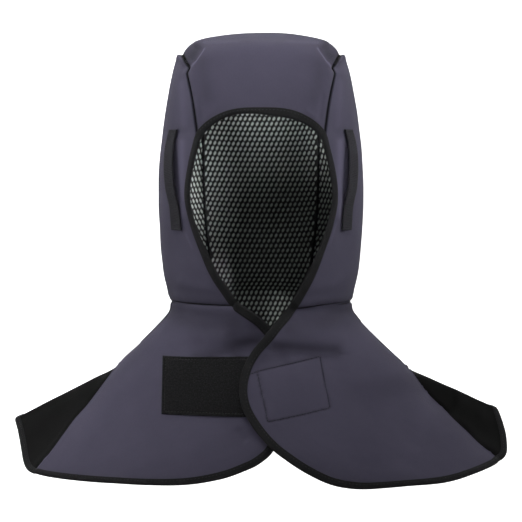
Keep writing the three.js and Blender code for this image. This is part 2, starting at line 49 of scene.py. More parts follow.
SIDE = table(
    "front_x front_y front_z lead lean wide_x wide_z back_x back_y back_z trail",
    [
        [33.3, -90.5, -278, 21, 3.7, 94.0, -278, 48, 84, -280, 38],
        [37.0, -93.5, -271, 24, 3.6, 96.8, -271, 50, 88, -272, 38],
        [46.7, -94.5, -256, 30, 2.1, 101.2, -256, 54, 95, -256, 38],
        [54.8, -93.0, -241, 36, 1.5, 103.6, -240, 57, 100, -239, 38],
        [61.8, -91.0, -221, 42, 1.0, 105.3, -219, 60, 106, -218, 38],
        [70.0, -89.0, -201, 48, 0.7, 106.5, -198, 62, 110, -196, 38],
        [74.4, -88.5, -181, 50, 0.2, 107.0, -178, 63, 112, -175, 38],
        [76.5, -89.5, -164, 51, 0.1, 107.1, -160, 64, 113, -156, 38],
        [73.5, -92.5, -141, 50, 0.0, 106.8, -139, 64, 112, -133, 38],
        [68.9, -96.5, -121, 47, 0.0, 105.3, -119, 64, 110, -111, 39],
        [64.2, -101.0, -104, 44, 0.0, 103.3, -101, 64, 106, -91, 40],
        [66.8, -101.0, -84, 46, 0.0, 100.6, -83, 64.5, 101, -74, 42],
        [68.9, -98.5, -70, 48, 0.0, 98.2, -69, 65, 95, -60, 45],
        [72.0, -93.0, -56, 51, 0.0, 95.7, -56, 66, 88, -49, 49],
        [74.4, -86.0, -44, 56, 0.0, 93.0, -44, 68, 80, -41, 55],
        [76.0, -74.0, -34, 64, 0.0, 90.8, -33, 71, 68, -34, 63],
        [78.0, -60.0, -27, 75, 0.0, 88.0, -24.5, 75, 55, -29, 73],
        [79.8, -45.0, -24, 87, 0.0, 82.0, -22.5, 78, 42, -26.5, 86],
    ],
)
FOOT, TOP = 10, 17
CROWN = table(
    "along mid_y mid_z round tuck",
    [
        [0.00, -111.5, -78.0, 3.2, 0.00],
        [0.29, -113.0, -49.0, 3.0, 0.15],
        [0.43, -111.5, -34.0, 2.8, 0.20],
        [0.57, -106.5, -20.5, 2.6, 0.30],
        [0.71, -95.5, -12.5, 2.4, 0.40],
        [0.86, -76.0, -7.0, 2.3, 0.48],
        [1.00, -50.0, -2.0, 2.2, 0.53],
        [1.50, 0.0, 3.0, 2.2, 0.53],
        [2.00, 46.0, -2.0, 2.2, 0.50],
        [2.12, 84.0, -19.0, 2.1, 0.40],
        [2.24, 106.0, -46.0, 2.0, 0.25],
        [2.41, 121.0, -93.0, 2.0, 0.10],
        [2.59, 128.0, -157.0, 2.0, 0.00],
        [2.76, 120.5, -219.0, 2.0, 0.00],
        [2.88, 109.0, -257.0, 2.0, 0.00],
        [3.00, 97.0, -280.0, 2.0, 0.00],
    ],
)
DRAPE = table(
    "drop seam_x seam_y seam_z front_depth ridge_x ridge_y ridge_z back_y back_z",
    [
        [0.00, 94.0, 0, -279.2, 97, 93.5, 9, -279.8, 97, -281.2],
        [0.04, 94.5, 0, -287.0, 97.5, 94.0, 9, -288.0, 101, -290],
        [0.10, 103.0, 0, -297.5, 99, 102.5, 10, -299.0, 106, -302],
        [0.26, 128.0, 0, -323.0, 105, 127.5, 11, -325.0, 118, -330],
        [0.43, 154.2, -1, -349.3, 113, 155.0, 12, -350.5, 130, -361],
        [0.60, 175.0, -11, -377.7, 122, 182.0, 12, -363.0, 138, -388],
        [0.73, 195.0, -26, -399.5, 131, 207.0, 12, -375.0, 144, -413],
        [0.89, 219.0, -45, -425.0, 141, 235.0, 12, -388.5, 149, -436],
        [1.00, 235.0, -56, -441.0, 146, 249.0, 12, -397.0, 152, -452],
    ],
)
# the two shoulders are not alike: shift of the shoulder seam from the CAD's even one, and the ridge and outer hem of the black corners
SHOULDER = table(
    "drop right_x right_z left_x left_z",
    [
        [0.00, 0, 0, 0, 0], [0.04, -0.3, 0, -0.8, 0], [0.10, -0.8, 0, -1.8, 0], [0.26, -0.6, 0, -1.4, 0], [0.36, 0, 0, 0, 0], [0.43, 0.3, 0.3, -0.3, -0.7], [0.60, 0.5, 2.7, -1.0, 1.7],
        [0.73, 1.5, 2.5, -3.5, 1.7], [0.89, 3.5, 3.5, -5.0, -2.0], [1.00, 9.6, 1.9, -5.4, -5.5],
    ],
)
RIDGE = table(
    "drop right_x right_z left_x left_z",
    [
        [0.00, 93.5, -279.8, 93.5, -279.8], [0.04, 93.6, -288.0, 93.2, -288.0], [0.10, 101.7, -299.0, 100.7, -299.0],
        [0.26, 126.9, -325.0, 126.1, -325.0], [0.43, 155.5, -351.2, 155.5, -351.4], [0.60, 181.0, -363.2, 184.0, -366.0],
        [0.73, 204.0, -373.4, 210.0, -379.2], [0.89, 230.0, -385.0, 240.0, -394.5], [1.00, 246.0, -392.2, 256.8, -403.0],
    ],
)
OUTER_HEM = {
    1: table("s x y z", [
        [0.00, 244.6, -36, -439.1], [0.10, 249.5, -30, -436.8], [0.22, 252.2, -22, -431.0], [0.40, 252.4, -13, -421.0],
        [0.60, 250.8, -4, -409.5], [0.80, 248.4, 5, -399.5], [0.93, 246.8, 10.5, -394.0], [1.00, 246.0, 12, -392.2],
    ]),
    -1: table("s x y z", [
        [0.00, 229.6, -72, -446.5], [0.10, 236.0, -60, -445.5], [0.22, 241.0, -45, -440.0], [0.40, 245.0, -28, -430.0],
        [0.60, 249.3, -12, -418.5], [0.80, 253.3, 2, -409.5], [0.93, 256.0, 10, -404.5], [1.00, 256.8, 12, -403.0],
    ]),
}
SKIRT = table("fall front back", [[0, 1, 1], [0.8, 0.97, 0.985], [24, 0.95, 1.02], [54, 0.92, 1.06]])
RIGHT_FRONT = table("x z", [
    [37.0, -279.2], [26.6, -291.3], [17.5, -301.0], [10.5, -310.7], [0.5, -320.5], [-7.0, -330.3],
    [-13.0, -344.9], [-15.4, -359.4], [-12.9, -373.8], [-5.0, -388.0], [5.9, -402.2], [18.8, -414.6],
])
RIGHT_HEM = table("x z", [
    [18.8, -414.6], [48.3, -433.9], [78.0, -447.0], [107.9, -450.9], [138.2, -450.4], [179.6, -449.3], [212.0, -444.8], [244.6, -439.1],
])
LEFT_FRONT = table("x z", [
    [-29.6, -279.2], [-12.5, -290.5], [1.0, -300.8], [10.0, -311.0], [15.5, -322.0], [18.0, -336.0],
    [18.5, -354.4], [17.0, -375.0], [13.5, -397.5], [7.0, -416.0], [-8.5, -428.0],
])
LEFT_HEM = table("x z", [
    [-8.5, -428.0], [-40.5, -440.0], [-80.1, -446.5], [-120.1, -447.7], [-160.9, -447.5], [-203.1, -447.5], [-229.6, -446.5],
])
FOLDS = table(
    "side x0 z0 x1 z1 width rise",
    [
        [1, 110, -378, 150, -408, 16, -3.0],
        [1, 40, -420, 95, -440, 14, 2.0],
        [-1, -62, -318, -14, -322, 10, -2.5],
        [-1, -36, -398, -8, -404, 14, -2.5],
        [-1, -150, -360, -190, -425, 16, 3.0],
    ],
)
STRAP = table(
    "row across free",
    [
        [10.16, 0.1730, 0], [9.79, 0.1844, 0], [9.39, 0.1798, 1.0], [9.00, 0.1658, 2.4], [8.58, 0.1480, 3.6], [8.19, 0.1337, 4.2], [7.81, 0.1203, 4.4],
        [7.44, 0.1087, 4.2], [7.06, 0.1028, 3.4], [6.65, 0.0979, 2.0], [6.27, 0.0977, 0.8], [5.82, 0.1058, 0], [5.35, 0.1154, 0], [4.93, 0.1280, 0],
    ],
)
LOOP_CORNERS = np.array([[-99.3, -330.2], [-9.5, -329.4], [-11.0, -386.6], [-99.4, -385.5]])
HOOK_CORNERS = np.array([[-4.0, -341.4], [59.3, -328.4], [68.9, -377.8], [6.9, -389.9]])
CLOTH, BEND, TUCK_SHARPNESS, FLAP_LIFT = 1.2, 0.36, 14, 4
RIDGE_SWELL, RIDGE_AT = 6, 0.26
TAPE_WIDTH, FLAP_TAPE_WIDTH, HEM_TAPE_WIDTH = 8.2, 6.6, 5.2
ARCH_TAPE_WIDTH = 6.3
BROW_DROP = 1.6
WEBBING_WIDTH, WEBBING, WEBBING_CLEAR = 18.5, 1.8, 0.9

# camera of the picture, from which features measured in it are placed on the cloth
CAMERA = np.array([0.0, -2196.98, -121.86])
TILT = math.radians(3)
FOCUS, CENTRE = 2095.24, 261.0


def picture(p):
    """Picture place (522 x 522) of points in mm."""
    d = p - CAMERA
    depth = d[..., 1] * math.cos(TILT) - d[..., 2] * math.sin(TILT)
    up = d[..., 1] * math.sin(TILT) + d[..., 2] * math.cos(TILT)
    return CENTRE + FOCUS * d[..., 0] / depth, CENTRE - FOCUS * up / depth


# ------------------------------------------------------------------ numbers
def through(knots, values, t):
    k, v, t = np.asarray(knots, float), np.asarray(values, float), np.asarray(t, float)
    h = np.diff(k)
    s = np.diff(v) / h
    m = np.empty_like(v)
    m[0], m[-1] = s[0], s[-1]
    total = s[:-1] + s[1:]
    m[1:-1] = np.where(s[:-1] * s[1:] <= 0, 0, 2 * s[:-1] * s[1:] / np.where(total == 0, 1, total))
    i = np.clip(np.searchsorted(k, t, side="left") - 1, 0, len(h) - 1)
    f = (t - k[i]) / h[i]
    g = 1 - f
    out = v[i] * (1 + 2 * f) * g * g + m[i] * h[i] * f * g * g + v[i + 1] * f * f * (3 - 2 * f) - m[i + 1] * h[i] * f * f * g
    out = np.where(t <= k[0], v[0] + s[0] * (t - k[0]), out)
    return np.where(t >= k[-1], v[-1] + s[-1] * (t - k[-1]), out)


def soften(v, sigma):
    """Gaussian blur along the first axis that keeps both ends."""
    k = min(int(4 * sigma) + 1, len(v) - 1)
    a = np.concatenate([2 * v[0] - v[k:0:-1], v, 2 * v[-1] - v[-2 : -k - 2 : -1]])
    w = np.exp(-0.5 * (np.arange(-k, k + 1) / sigma) ** 2)
    w /= w.sum()
    out = np.zeros_like(v)
    for i, x in enumerate(w):
        out += x * a[i : i + len(v)]
    return out


def soften_ring(v, sigma):
    k = int(4 * sigma) + 1
    a = np.concatenate([v[-k:], v, v[:k]])
    w = np.exp(-0.5 * (np.arange(-k, k + 1) / sigma) ** 2)
    w /= w.sum()
    out = np.zeros_like(v)
    for i, x in enumerate(w):
        out += x * a[i : i + len(v)]
    return out


def ease(t):
    c = np.clip(t, 0, 1)
    return c * c * (3 - 2 * c)


def unit(v):
    return v / np.maximum(np.linalg.norm(v, axis=-1, keepdims=True), 1e-9)


def noise(p, size, seed):
    """Smooth noise from -1 to 1 over points in mm."""
    q = np.asarray(p, float) / size + seed * 17.31
    i = np.floor(q).astype(np.int64)
    f = q - i
    f = f * f * (3 - 2 * f)
    out = np.zeros(q.shape[:-1])
    for corner in range(8):
        o = np.array([corner & 1, (corner >> 1) & 1, (corner >> 2) & 1])
        c = i + o
        h = (c[..., 0] * 374761393 + c[..., 1] * 668265263 + c[..., 2] * 362437 + seed * 974711) & 0xFFFFFFFF
        h = ((h ^ (h >> 13)) * 1274126177) & 0xFFFFFFFF
        value = ((h ^ (h >> 16)) & 0xFFFF) / 32767.5 - 1
        w = np.where(o == 1, f, 1 - f)
        out += value * w[..., 0] * w[..., 1] * w[..., 2]
    return out


def waves(s, size, seed):
    """Smooth noise along a length in mm."""
    s = np.asarray(s, float)
    return noise(np.stack([s, np.zeros_like(s), np.zeros_like(s)], -1), size, seed)


def arc(path):
    return np.concatenate([[0], np.cumsum(np.linalg.norm(np.diff(path, axis=0), axis=1))])


def resample(path, gap):
    s = arc(path)
    n = max(2, int(round(s[-1] / gap)) + 1)
    t = np.linspace(0, s[-1], n)
    return np.stack([np.interp(t, s, path[:, k]) for k in range(path.shape[1])], 1)


def nearest(points, path):
    """Distance in mm from each point to a path, and the length along the path there."""
    flat = points.reshape(-1, 3)
    dense = resample(path, 0.8)
    s = arc(dense)
    dist, run = np.empty(len(flat)), np.empty(len(flat))
    for a in range(0, len(flat), 3000):
        d = np.linalg.norm(flat[a : a + 3000, None] - dense[None], axis=2)
        k = d.argmin(1)
        dist[a : a + 3000] = d[np.arange(len(k)), k]
        run[a : a + 3000] = s[k]
    return dist.reshape(points.shape[:-1]), run.reshape(points.shape[:-1])


def grid_normals(g, outward):
    n = unit(np.cross(np.gradient(g, axis=1), np.gradient(g, axis=0)))
    return n if (n * outward(g)).sum() > 0 else -n


def lengths(g):
    """Cloth coordinates of a grid in cm: across from its middle column, and along it."""
    step = np.linalg.norm(np.diff(g, axis=1), axis=2)
    s = np.concatenate([np.zeros((len(g), 1)), np.cumsum(step, axis=1)], 1)
    s -= s[:, [g.shape[1] // 2]]
    t = arc(g[:, g.shape[1] // 2])
    return np.stack([s, np.broadcast_to(t[:, None], s.shape)], -1) / 10


# ------------------------------------------------------------------ surfaces
FINE = 16
ROWS = np.linspace(0, TOP, TOP * FINE + 1)


def side_curve(name):
    if name.startswith("front"):
        c = FOOT * FINE
        low = through(np.arange(FOOT + 1), SIDE[name][: FOOT + 1], ROWS[: c + 1])
        high = through(np.arange(TOP - FOOT + 1), SIDE[name][FOOT:], ROWS[c:] - FOOT)
        return np.concatenate([soften(low, 9), soften(high, 9)[1:]])
    return soften(through(np.arange(TOP + 1), SIDE[name], ROWS), 10)


CURVES = {name: side_curve(name) for name in SIDE}


def side_value(name, row):
    return np.interp(row, ROWS, CURVES[name])


def side_points(row, across, hand):
    row, across = np.broadcast_arrays(np.asarray(row, float), np.asarray(across, float))
    at = lambda name: side_value(name, row)
    front = np.stack([at("front_x") + at("lean") * hand, at("front_y"), at("front_z")], -1)
    wide = np.stack([at("wide_x"), np.zeros_like(row), at("wide_z")], -1)
    back = np.stack([at("back_x"), at("back_y"), at("back_z")], -1)
    lead, trail = np.radians(at("lead")), np.radians(at("trail"))
    ahead = across <= 0.5
    a = np.where(ahead[..., None], front, wide)
    d = np.where(ahead[..., None], wide, back)
    reach = BEND * np.hypot(d[..., 0] - a[..., 0], d[..., 1] - a[..., 1])
    third = (d[..., 2] - a[..., 2]) / 3
    b = np.stack([
        a[..., 0] + np.where(ahead, reach * np.cos(lead), 0),
        a[..., 1] + np.where(ahead, reach * np.sin(lead), reach),
        a[..., 2] + third,
    ], -1)
    c = np.stack([
        d[..., 0] + np.where(ahead, 0, reach * np.cos(trail)),
        d[..., 1] - np.where(ahead, reach, reach * np.sin(trail)),
        d[..., 2] - third,
    ], -1)
    s = np.where(ahead, across * 2, across * 2 - 1)[..., None]
    p = a * (1 - s) ** 3 + 3 * b * s * (1 - s) ** 2 + 3 * c * s * s * (1 - s) + d * s**3
    return p * np.array([hand, 1, 1])


ALONG = np.linspace(0, 3, 241)
CROWN_CURVES = {c: soften(through(CROWN["along"], CROWN[c], ALONG), 3.2) for c in CROWN}


def crown_points(seam, along, w):
    at = lambda name: np.interp(along, ALONG, CROWN_CURVES[name])[:, None]
    m = np.abs(w)[None]
    share = (1 - at("tuck")) * m ** at("round") + at("tuck") * m**TUCK_SHARPNESS
    return np.stack([
        seam[:, 0, None] * w[None],
        at("mid_y") + (seam[:, 1, None] - at("mid_y")) * m * m,
        at("mid_z") + (seam[:, 2, None] - at("mid_z")) * share,
    ], -1)


def clustered(n, tight):
    """0..1 in n steps, closer together at both ends."""
    t = np.linspace(0, 1, n + 1)
    return tight * (0.5 - 0.5 * np.cos(np.pi * t)) + (1 - tight) * t


def hood(side_rows, side_columns, crown_columns):
    rows = np.concatenate([FOOT * clustered(int(side_rows * 0.58), 0.6), FOOT + (TOP - FOOT) * clustered(int(side_rows * 0.42), 0.5)[1:]])
    across = clustered(side_columns, 0.7)
    grids = {h: side_points(rows[:, None], across[None], h) for h in (1, -1)}
    for h in grids:
        g = grids[h]
        grids[h] = soften(g.transpose(1, 0, 2), 1.5).transpose(1, 0, 2)
    right = grids[1]
    foot = int(np.searchsorted(rows, FOOT))
    seam = np.concatenate([right[foot:, 0], right[-1, 1:], right[:-1, -1][::-1]])
    along = np.concatenate([(rows[foot:] - FOOT) / (TOP - FOOT), 1 + across[1:], 2 + (TOP - rows[:-1][::-1]) / TOP])
    t = clustered(crown_columns, 0.35)
    w = np.sin((t - 0.5) * np.pi)
    # the lower rim of the right side leans, so the crown takes its seam from the upright part of both sides
    crown = crown_points(seam, along, w)
    return rows, across, grids, crown, seam, foot


DROPS = np.linspace(0, 1, 201)
DRAPE_CURVES = {c: soften(through(DRAPE["drop"], DRAPE[c], DROPS), 4) for c in DRAPE}


def drape_value(name, drop):
    return np.interp(drop, DROPS, DRAPE_CURVES[name])


LEVELS = np.linspace(DRAPE["seam_z"][0], -475, 301)
LEVEL_CURVES = {c: soften(through(-DRAPE["seam_z"], DRAPE[c], -LEVELS), 6) for c in ("front_depth", "seam_x", "seam_y")}


def chest_y(x, z):
    at = lambda name: np.interp(-z, -LEVELS, LEVEL_CURVES[name])
    depth = at("front_depth")
    half = at("seam_x") / np.sqrt(1 - (at("seam_y") / depth) ** 2)
    return -depth * np.sqrt(np.maximum(0, 1 - (x / half) ** 2))


def fold_rise(x, z, hand):
    rise = np.zeros_like(x)
    for i in np.flatnonzero(FOLDS["side"] == hand):
        f = {c: FOLDS[c][i] for c in FOLDS}
        dx, dz = f["x1"] - f["x0"], f["z1"] - f["z0"]
        t = np.clip(((x - f["x0"]) * dx + (z - f["z0"]) * dz) / (dx * dx + dz * dz), 0, 1)
        away = np.hypot(x - f["x0"] - t * dx, z - f["z0"] - t * dz) / f["width"]
        rise += f["rise"] * np.exp(-away * away)
    return rise


def flap_points(x, z, hand):
    lift = FLAP_LIFT * ease((-280 - z) / 22) * (1 - ease((np.abs(x) - 35) / 75))
    rim = ease((-281 - z) / 14)
    return np.stack([x, chest_y(x, z) - hand * lift - rim * fold_rise(x, z, hand), z], -1)


def edge_line(rows, n=200):
    run = np.concatenate([[0], np.cumsum(np.hypot(np.diff(rows["x"]), np.diff(rows["z"])))])
    share = run / run[-1]
    t = np.linspace(0, 1, n + 1)
    fine = {k: soften(through(share, rows[k], t), 5) for k in "xz"}
    return lambda s: {k: np.interp(s, t, fine[k]) for k in "xz"}


def shoulder(v, hand):
    """Shoulder seam of one hand: grey flap and black panel meet along it."""
    side = "right" if hand > 0 else "left"
    wobble = 0.7 * waves(v * 260, 22, 5 + hand) * ease((v - 0.4) / 0.2) * ease((1 - v) / 0.05)
    x = drape_value("seam_x", v) + through(SHOULDER["drop"], SHOULDER[side + "_x"], v) + wobble
    z = drape_value("seam_z", v) + through(SHOULDER["drop"], SHOULDER[side + "_z"], v) + wobble
    y = drape_value("seam_y", v)
    y = y + (chest_y(x, z) - y) * ease((v - 0.4) / 0.15)
    return hand * x, y, z


def flap(front_rows, hem_rows, hand, v, t):
    front, hem = edge_line(front_rows), edge_line(hem_rows)
    u = np.sin(t * np.pi / 2)
    seam = dict(zip("xyz", shoulder(v, hand)))
    out = {}
    uu, vv = u[None], v[:, None]
    for k in "xz":
        f, h = front(v)[k][:, None], hem(u)[k][None]
        s = seam[k][:, None]
        f0, f1, s0, s1 = front(0)[k], front(1)[k], seam[k][0], seam[k][-1]
        neck = f0 + (s0 - f0) * uu
        out[k] = (1 - uu) * f + uu * s + (1 - vv) * neck + vv * h
        out[k] -= (1 - uu) * (1 - vv) * f0 + uu * (1 - vv) * s0 + (1 - uu) * vv * f1 + uu * vv * s1
    g = flap_points(out["x"], out["z"], hand)
    pull = ease((uu - 0.985) / 0.015)
    g[..., 1] += (seam["y"][:, None] - g[..., 1]) * pull
    return g


def corner_panel(v, s, hand):
    """Black panel between the shoulder seam (s = 0) and its ridge (s = 1)."""
    side = "right" if hand > 0 else "left"
    ridge = [through(RIDGE["drop"], RIDGE[side + "_x"], v), np.full_like(v, 12.0) * ease(v / 0.4 + 0.75), through(RIDGE["drop"], RIDGE[side + "_z"], v)]
    seam = list(shoulder(v, hand))
    seam[0] = seam[0] * hand
    ss = s[None]
    swell = RIDGE_SWELL * np.sin(np.pi * ss) * ease((v[:, None] - 0.4) / 0.6)
    bend = [ss, ss, np.sin(ss * np.pi / 2)]
    p = np.stack([a[:, None] + (b - a)[:, None] * f for a, b, f in zip(seam, ridge, bend)], -1)
    p[..., 0] += swell
    share = ease((v - 0.45) / 0.55)[:, None] ** 1.5
    for k, c in enumerate("xyz"):
        rows = OUTER_HEM[hand][c].copy()
        rows[0], rows[-1] = seam[k][-1], ridge[k][-1]
        p[..., k] += share * (through(OUTER_HEM[hand]["s"], rows, s)[None] - p[-1:, :, k])
    return p, ridge


def back_panel(v, t):
    """Black panel from the right shoulder seam (t = 0) round the back to the left one (t = 1)."""
    out = np.empty((len(v), len(t), 3))
    for hand in (1, -1):
        pick = (t <= 0.5) if hand > 0 else (t > 0.5)
        half = np.where(t <= 0.5, t * 2, 2 - t * 2)[pick]
        near, ridge = corner_panel(v, np.clip(half / RIDGE_AT, 0, 1), hand)
        a = np.clip((half - RIDGE_AT) / (1 - RIDGE_AT), 0, 1)[None] * np.pi / 2
        rx, ry, rz = (r[:, None] for r in ridge)
        by, bz = drape_value("back_y", v)[:, None], drape_value("back_z", v)[:, None]
        far = np.stack(np.broadcast_arrays(rx * np.maximum(np.cos(a), 0) ** 0.85, ry + (by - ry) * np.sin(a), rz + (bz - rz) * (1 - np.cos(a))), -1)
        p = np.where((half <= RIDGE_AT)[None, :, None], near, far)
        out[:, pick] = p * np.array([hand, 1, 1])
    return out


# ------------------------------------------------------------------ creases measured in the picture
# shape: 0 soft, 1 crisp, 2 pleat with its raised side on the right of the line, 3 fold that is steep on its upper side
# only; light: a painted highlight along the crease above 0, painted shade over its hollow below 0
CREASES = table(
    "part x0 y0 x1 y1 width rise shape light",
    [
        # crown: corner pleats, top turn, folds beside the seam feet; painted highlight on the pleat lines (pale wear as
        # well) and on the top turn, painted shade over the corner hollows and beside the seams
        [0, 190, 69, 204, 49, 2.2, 1.4, 2, 0.85],
        [0, 318, 49, 332, 69, 2.2, 1.4, 2, 0.85],
        [0, 204, 42.5, 238, 41.5, 3.0, 0.5, 0, 0.2],
        [0, 286, 41.5, 318, 43, 3.0, 0.5, 0, 0.2],
        [0, 189, 58, 196, 46, 6.5, -2.2, 0, -0.48],
        [0, 333, 58, 326, 46, 6.5, -2.2, 0, -0.48],
        [0, 202, 64, 207, 96, 9.0, 0.0, 0, -0.16],
        [0, 320, 64, 315, 96, 9.0, 0.0, 0, -0.15],
        [0, 199, 96, 202, 118, 3.0, -0.9, 0, 0],
        [0, 323, 96, 320, 118, 3.0, -0.9, 0, 0],
        [0, 206, 117, 216, 110, 2.2, 0.6, 0, 0],
        [0, 316, 117, 306, 110, 2.2, 0.6, 0, 0],
        # sides: creases under the loop ends, soft upright folds beside the seam feet; their pale lines are painted
        # highlights, and beside the loops they paint light over the loops' shade
        [1, 186, 233, 193, 249, 2.0, 0.9, 1, 0.2],
        [1, 336, 222, 330, 243, 2.0, 0.9, 1, 0.2],
        [1, 188, 80, 190, 128, 4.0, -0.8, 0, 0],
        [1, 334, 80, 332, 128, 4.0, -0.8, 0, 0],
        [1, 182, 84, 184, 124, 8.0, 0.6, 0, 0.22],
        [1, 182, 142, 183, 214, 7.0, 0.8, 0, 0.34],
        [1, 340, 84, 338, 124, 8.0, 0.6, 0, 0.18],
        [1, 340, 142, 339, 214, 7.0, 0.8, 0, 0.40],
        [1, 172, 120, 171, 150, 3.0, 0.5, 0, 0],
        [1, 352, 116, 353, 150, 3.0, 0.5, 0, 0],
        [1, 180, 282, 214, 291, 6.0, 0.9, 0, 0],
        [1, 343, 282, 309, 291, 6.0, 0.9, 0, 0],
        # left flap; light below 0 is painted shade in its hollows under the neck seam and where the flaps cross
        [2, 205, 358, 258, 344, 9.0, -5.0, 3, 0],
        [2, 176, 316, 232, 326, 14.0, -1.0, 0, -0.30],
        [2, 228, 341, 262, 330, 10.0, -4.0, 3, 0],
        [2, 196, 355, 240, 349, 5.0, 0.0, 0, -0.24],
        [2, 236, 348, 264, 336, 12.0, 0.0, 0, -0.38],
        # part of the left flap that lies under the right one
        [2, 274, 322, 279, 384, 11.0, -8.0, 0, 0],
        [2, 200, 334, 172, 342, 9.0, 0.8, 0, 0],
        [2, 240, 424, 200, 440, 9.0, 0.8, 0, 0],
        [2, 246, 440, 238, 430, 5.0, -1.4, 0, 0],
        # right flap; light below 0 is painted shade in its folds and under the neck seam
        [3, 274, 348, 338, 352, 6.0, -5.5, 3, -0.28],
        [3, 346, 316, 292, 326, 14.0, -1.0, 0, -0.30],
        [3, 250, 364, 284, 353, 9.0, -2.0, 3, -0.22],
        [3, 300, 333, 345, 338, 7.0, 1.0, 0, 0],
        [3, 345, 372, 372, 424, 12.0, -1.5, 0, 0],
        [3, 398, 390, 402, 462, 24.0, -4.0, 0, 0],
        [3, 398, 372, 430, 420, 9.0, 0.8, 0, 0],
    ],
)


def crease_rise(p, part):
    """Height of the creases on a cloth grid, and their painted light: painted highlight along a crease (above 0),
    painted shade over a hollow (below 0).
    """
    px, py = picture(p)
    rise, light = np.zeros(px.shape), np.zeros(px.shape)
    for i in np.flatnonzero(CREASES["part"] == part):
        c = {k: CREASES[k][i] for k in CREASES}
        dx, dy = c["x1"] - c["x0"], c["y1"] - c["y0"]
        t = ((px - c["x0"]) * dx + (py - c["y0"]) * dy) / (dx * dx + dy * dy)
        gap = np.hypot(px - c["x0"] - np.clip(t, 0, 1) * dx, py - c["y0"] - np.clip(t, 0, 1) * dy)
        away = gap / c["width"]
        aside = ((py - c["y0"]) * dx - (px - c["x0"]) * dy) / math.hypot(dx, dy)
        ends = ease((t + 0.25) / 0.35) * ease((1.25 - t) / 0.35)
        if c["shape"] == 1:
            shape = np.exp(-away) * (1 - 0.25 * np.exp(-away * 4))
        elif c["shape"] == 2:
            over = 0.5 + 0.5 * np.tanh(aside / 0.7)
            shape = over * np.exp(-np.maximum(aside, 0) / (4 * c["width"])) - 0.35 * (1 - over) * np.exp(np.minimum(aside, 0) / (2.5 * c["width"]))
        elif c["shape"] == 3:
            shape = np.exp(-((gap / np.where(aside > 0, 3.5 * c["width"], c["width"])) ** 2))
        else:
            shape = np.exp(-away * away)
        rise += c["rise"] * shape * ends
        crease_painted_light = c["light"] * np.exp(-((gap / (c["width"] if c["light"] < 0 else max(1.0, 0.5 * c["width"]))) ** 2))
        light = np.where(np.abs(crease_painted_light) > np.abs(light), crease_painted_light, light)
    return rise * (p[..., 1] < 0), light * (p[..., 1] < 0)


# ------------------------------------------------------------------ hood and drape cloth
ROW_AT, ACROSS, SIDES, CROWN_GRID, SEAM, FOOT_AT = hood(120, 110, 128)
V_ROWS = clustered(120, 0.45)
FLAPS = {
    1: flap(RIGHT_FRONT, RIGHT_HEM, 1, V_ROWS, np.linspace(0, 1, 121)),
    -1: flap(LEFT_FRONT, LEFT_HEM, -1, V_ROWS, np.linspace(0, 1, 121)),
}
BACK = back_panel(clustered(84, 0.45), np.concatenate([0.13 * clustered(44, 0.5), 0.13 + 0.37 * np.linspace(0, 1, 61)[1:]])[:-1])
BACK = np.concatenate([BACK, back_panel(clustered(84, 0.45), 1 - np.concatenate([0.13 * clustered(44, 0.5), 0.13 + 0.37 * np.linspace(0, 1, 61)[1:]])[::-1])], 1)

MIDDLE = np.array([0, 0, -150.0])
from_middle = lambda g: g - MIDDLE
from_axis = lambda g: g * np.array([1, 1, 0]) + np.array([0, 0, 40.0])
SEAMS = {1: SEAM, -1: SEAM * np.array([-1, 1, 1])}

# the seam runs in a little towards the middle at the crown's front corners, then breaks back out
KINK = table("z shift", [[-46, 0], [-43.5, 0], [-38.4, 4.1], [-32, 1.5], [-25, 0], [-20, 0]])


def kinked(g, hand):
    d = nearest(g, SEAM[: len(ROW_AT) - FOOT_AT] * np.array([hand, 1, 1]))[0]
    out = g.copy()
    out[..., 0] -= hand * np.interp(g[..., 2], KINK["z"], KINK["shift"]) * np.exp(-((d / 8) ** 2)) * (g[..., 1] < -30)
    return out


def lowered(g):
    """The crown sits a little lower than the CAD's."""
    out = g.copy()
    out[..., 2] -= 1.6 * ease((g[..., 2] + 22) / 22)
    return out


def browed(g, brow):
    """The forehead edge hangs a little lower between the seam feet."""
    out = g.copy()
    out[..., 2] -= BROW_DROP * np.exp(-((nearest(g, brow)[0] / 10) ** 2)) * ease((64 - np.abs(g[..., 0])) / 24)
    return out


def drooped(g):
    """The right side's neck seam runs lower towards the front; at the taped edge the cloth slides along the edge."""
    out = g.copy()
    x, z = g[..., 0], g[..., 2]
    fall = 3.0 * np.exp(-(((x - 36) / 20) ** 2) - ((z + 281) / 14) ** 2) * (g[..., 1] < 0)
    out[..., 2] -= fall
    out[..., 0] -= 0.85 * fall * np.exp(-(((x - 37 - 0.86 * (z + 279)) / 12) ** 2))
    return out


CROWN_GRID = kinked(kinked(CROWN_GRID, 1), -1)
CROWN_GRID = lowered(browed(CROWN_GRID, CROWN_GRID[0].copy()))
SIDES = {h: lowered(kinked(SIDES[h], h)) for h in (1, -1)}
SEAMS = {h: lowered(kinked(SEAMS[h], h)) for h in (1, -1)}
SIDES[1], FLAPS[1] = drooped(SIDES[1]), drooped(FLAPS[1])
NECK = np.concatenate([SIDES[1][0], CROWN_GRID[-1, ::-1], SIDES[-1][0, ::-1]])
JOIN = {h: np.stack(shoulder(DROPS, h), 1) for h in (1, -1)}


def groove(d, run, deep, wide, puff, out, spread, seed):
    pucker = 1 + 0.45 * waves(run, 9, seed) + 0.35 * waves(run, 23, seed + 3)
    return -deep * np.exp(-((d / wide) ** 2)) + puff * pucker * np.exp(-(((d - out) / spread) ** 2))


def drape_noise(g, amount, seed):
    return amount * (0.9 * noise(g, 46, seed) + 0.4 * noise(g, 19, seed + 1)) + 0.07 * noise(g, 6, seed + 2)


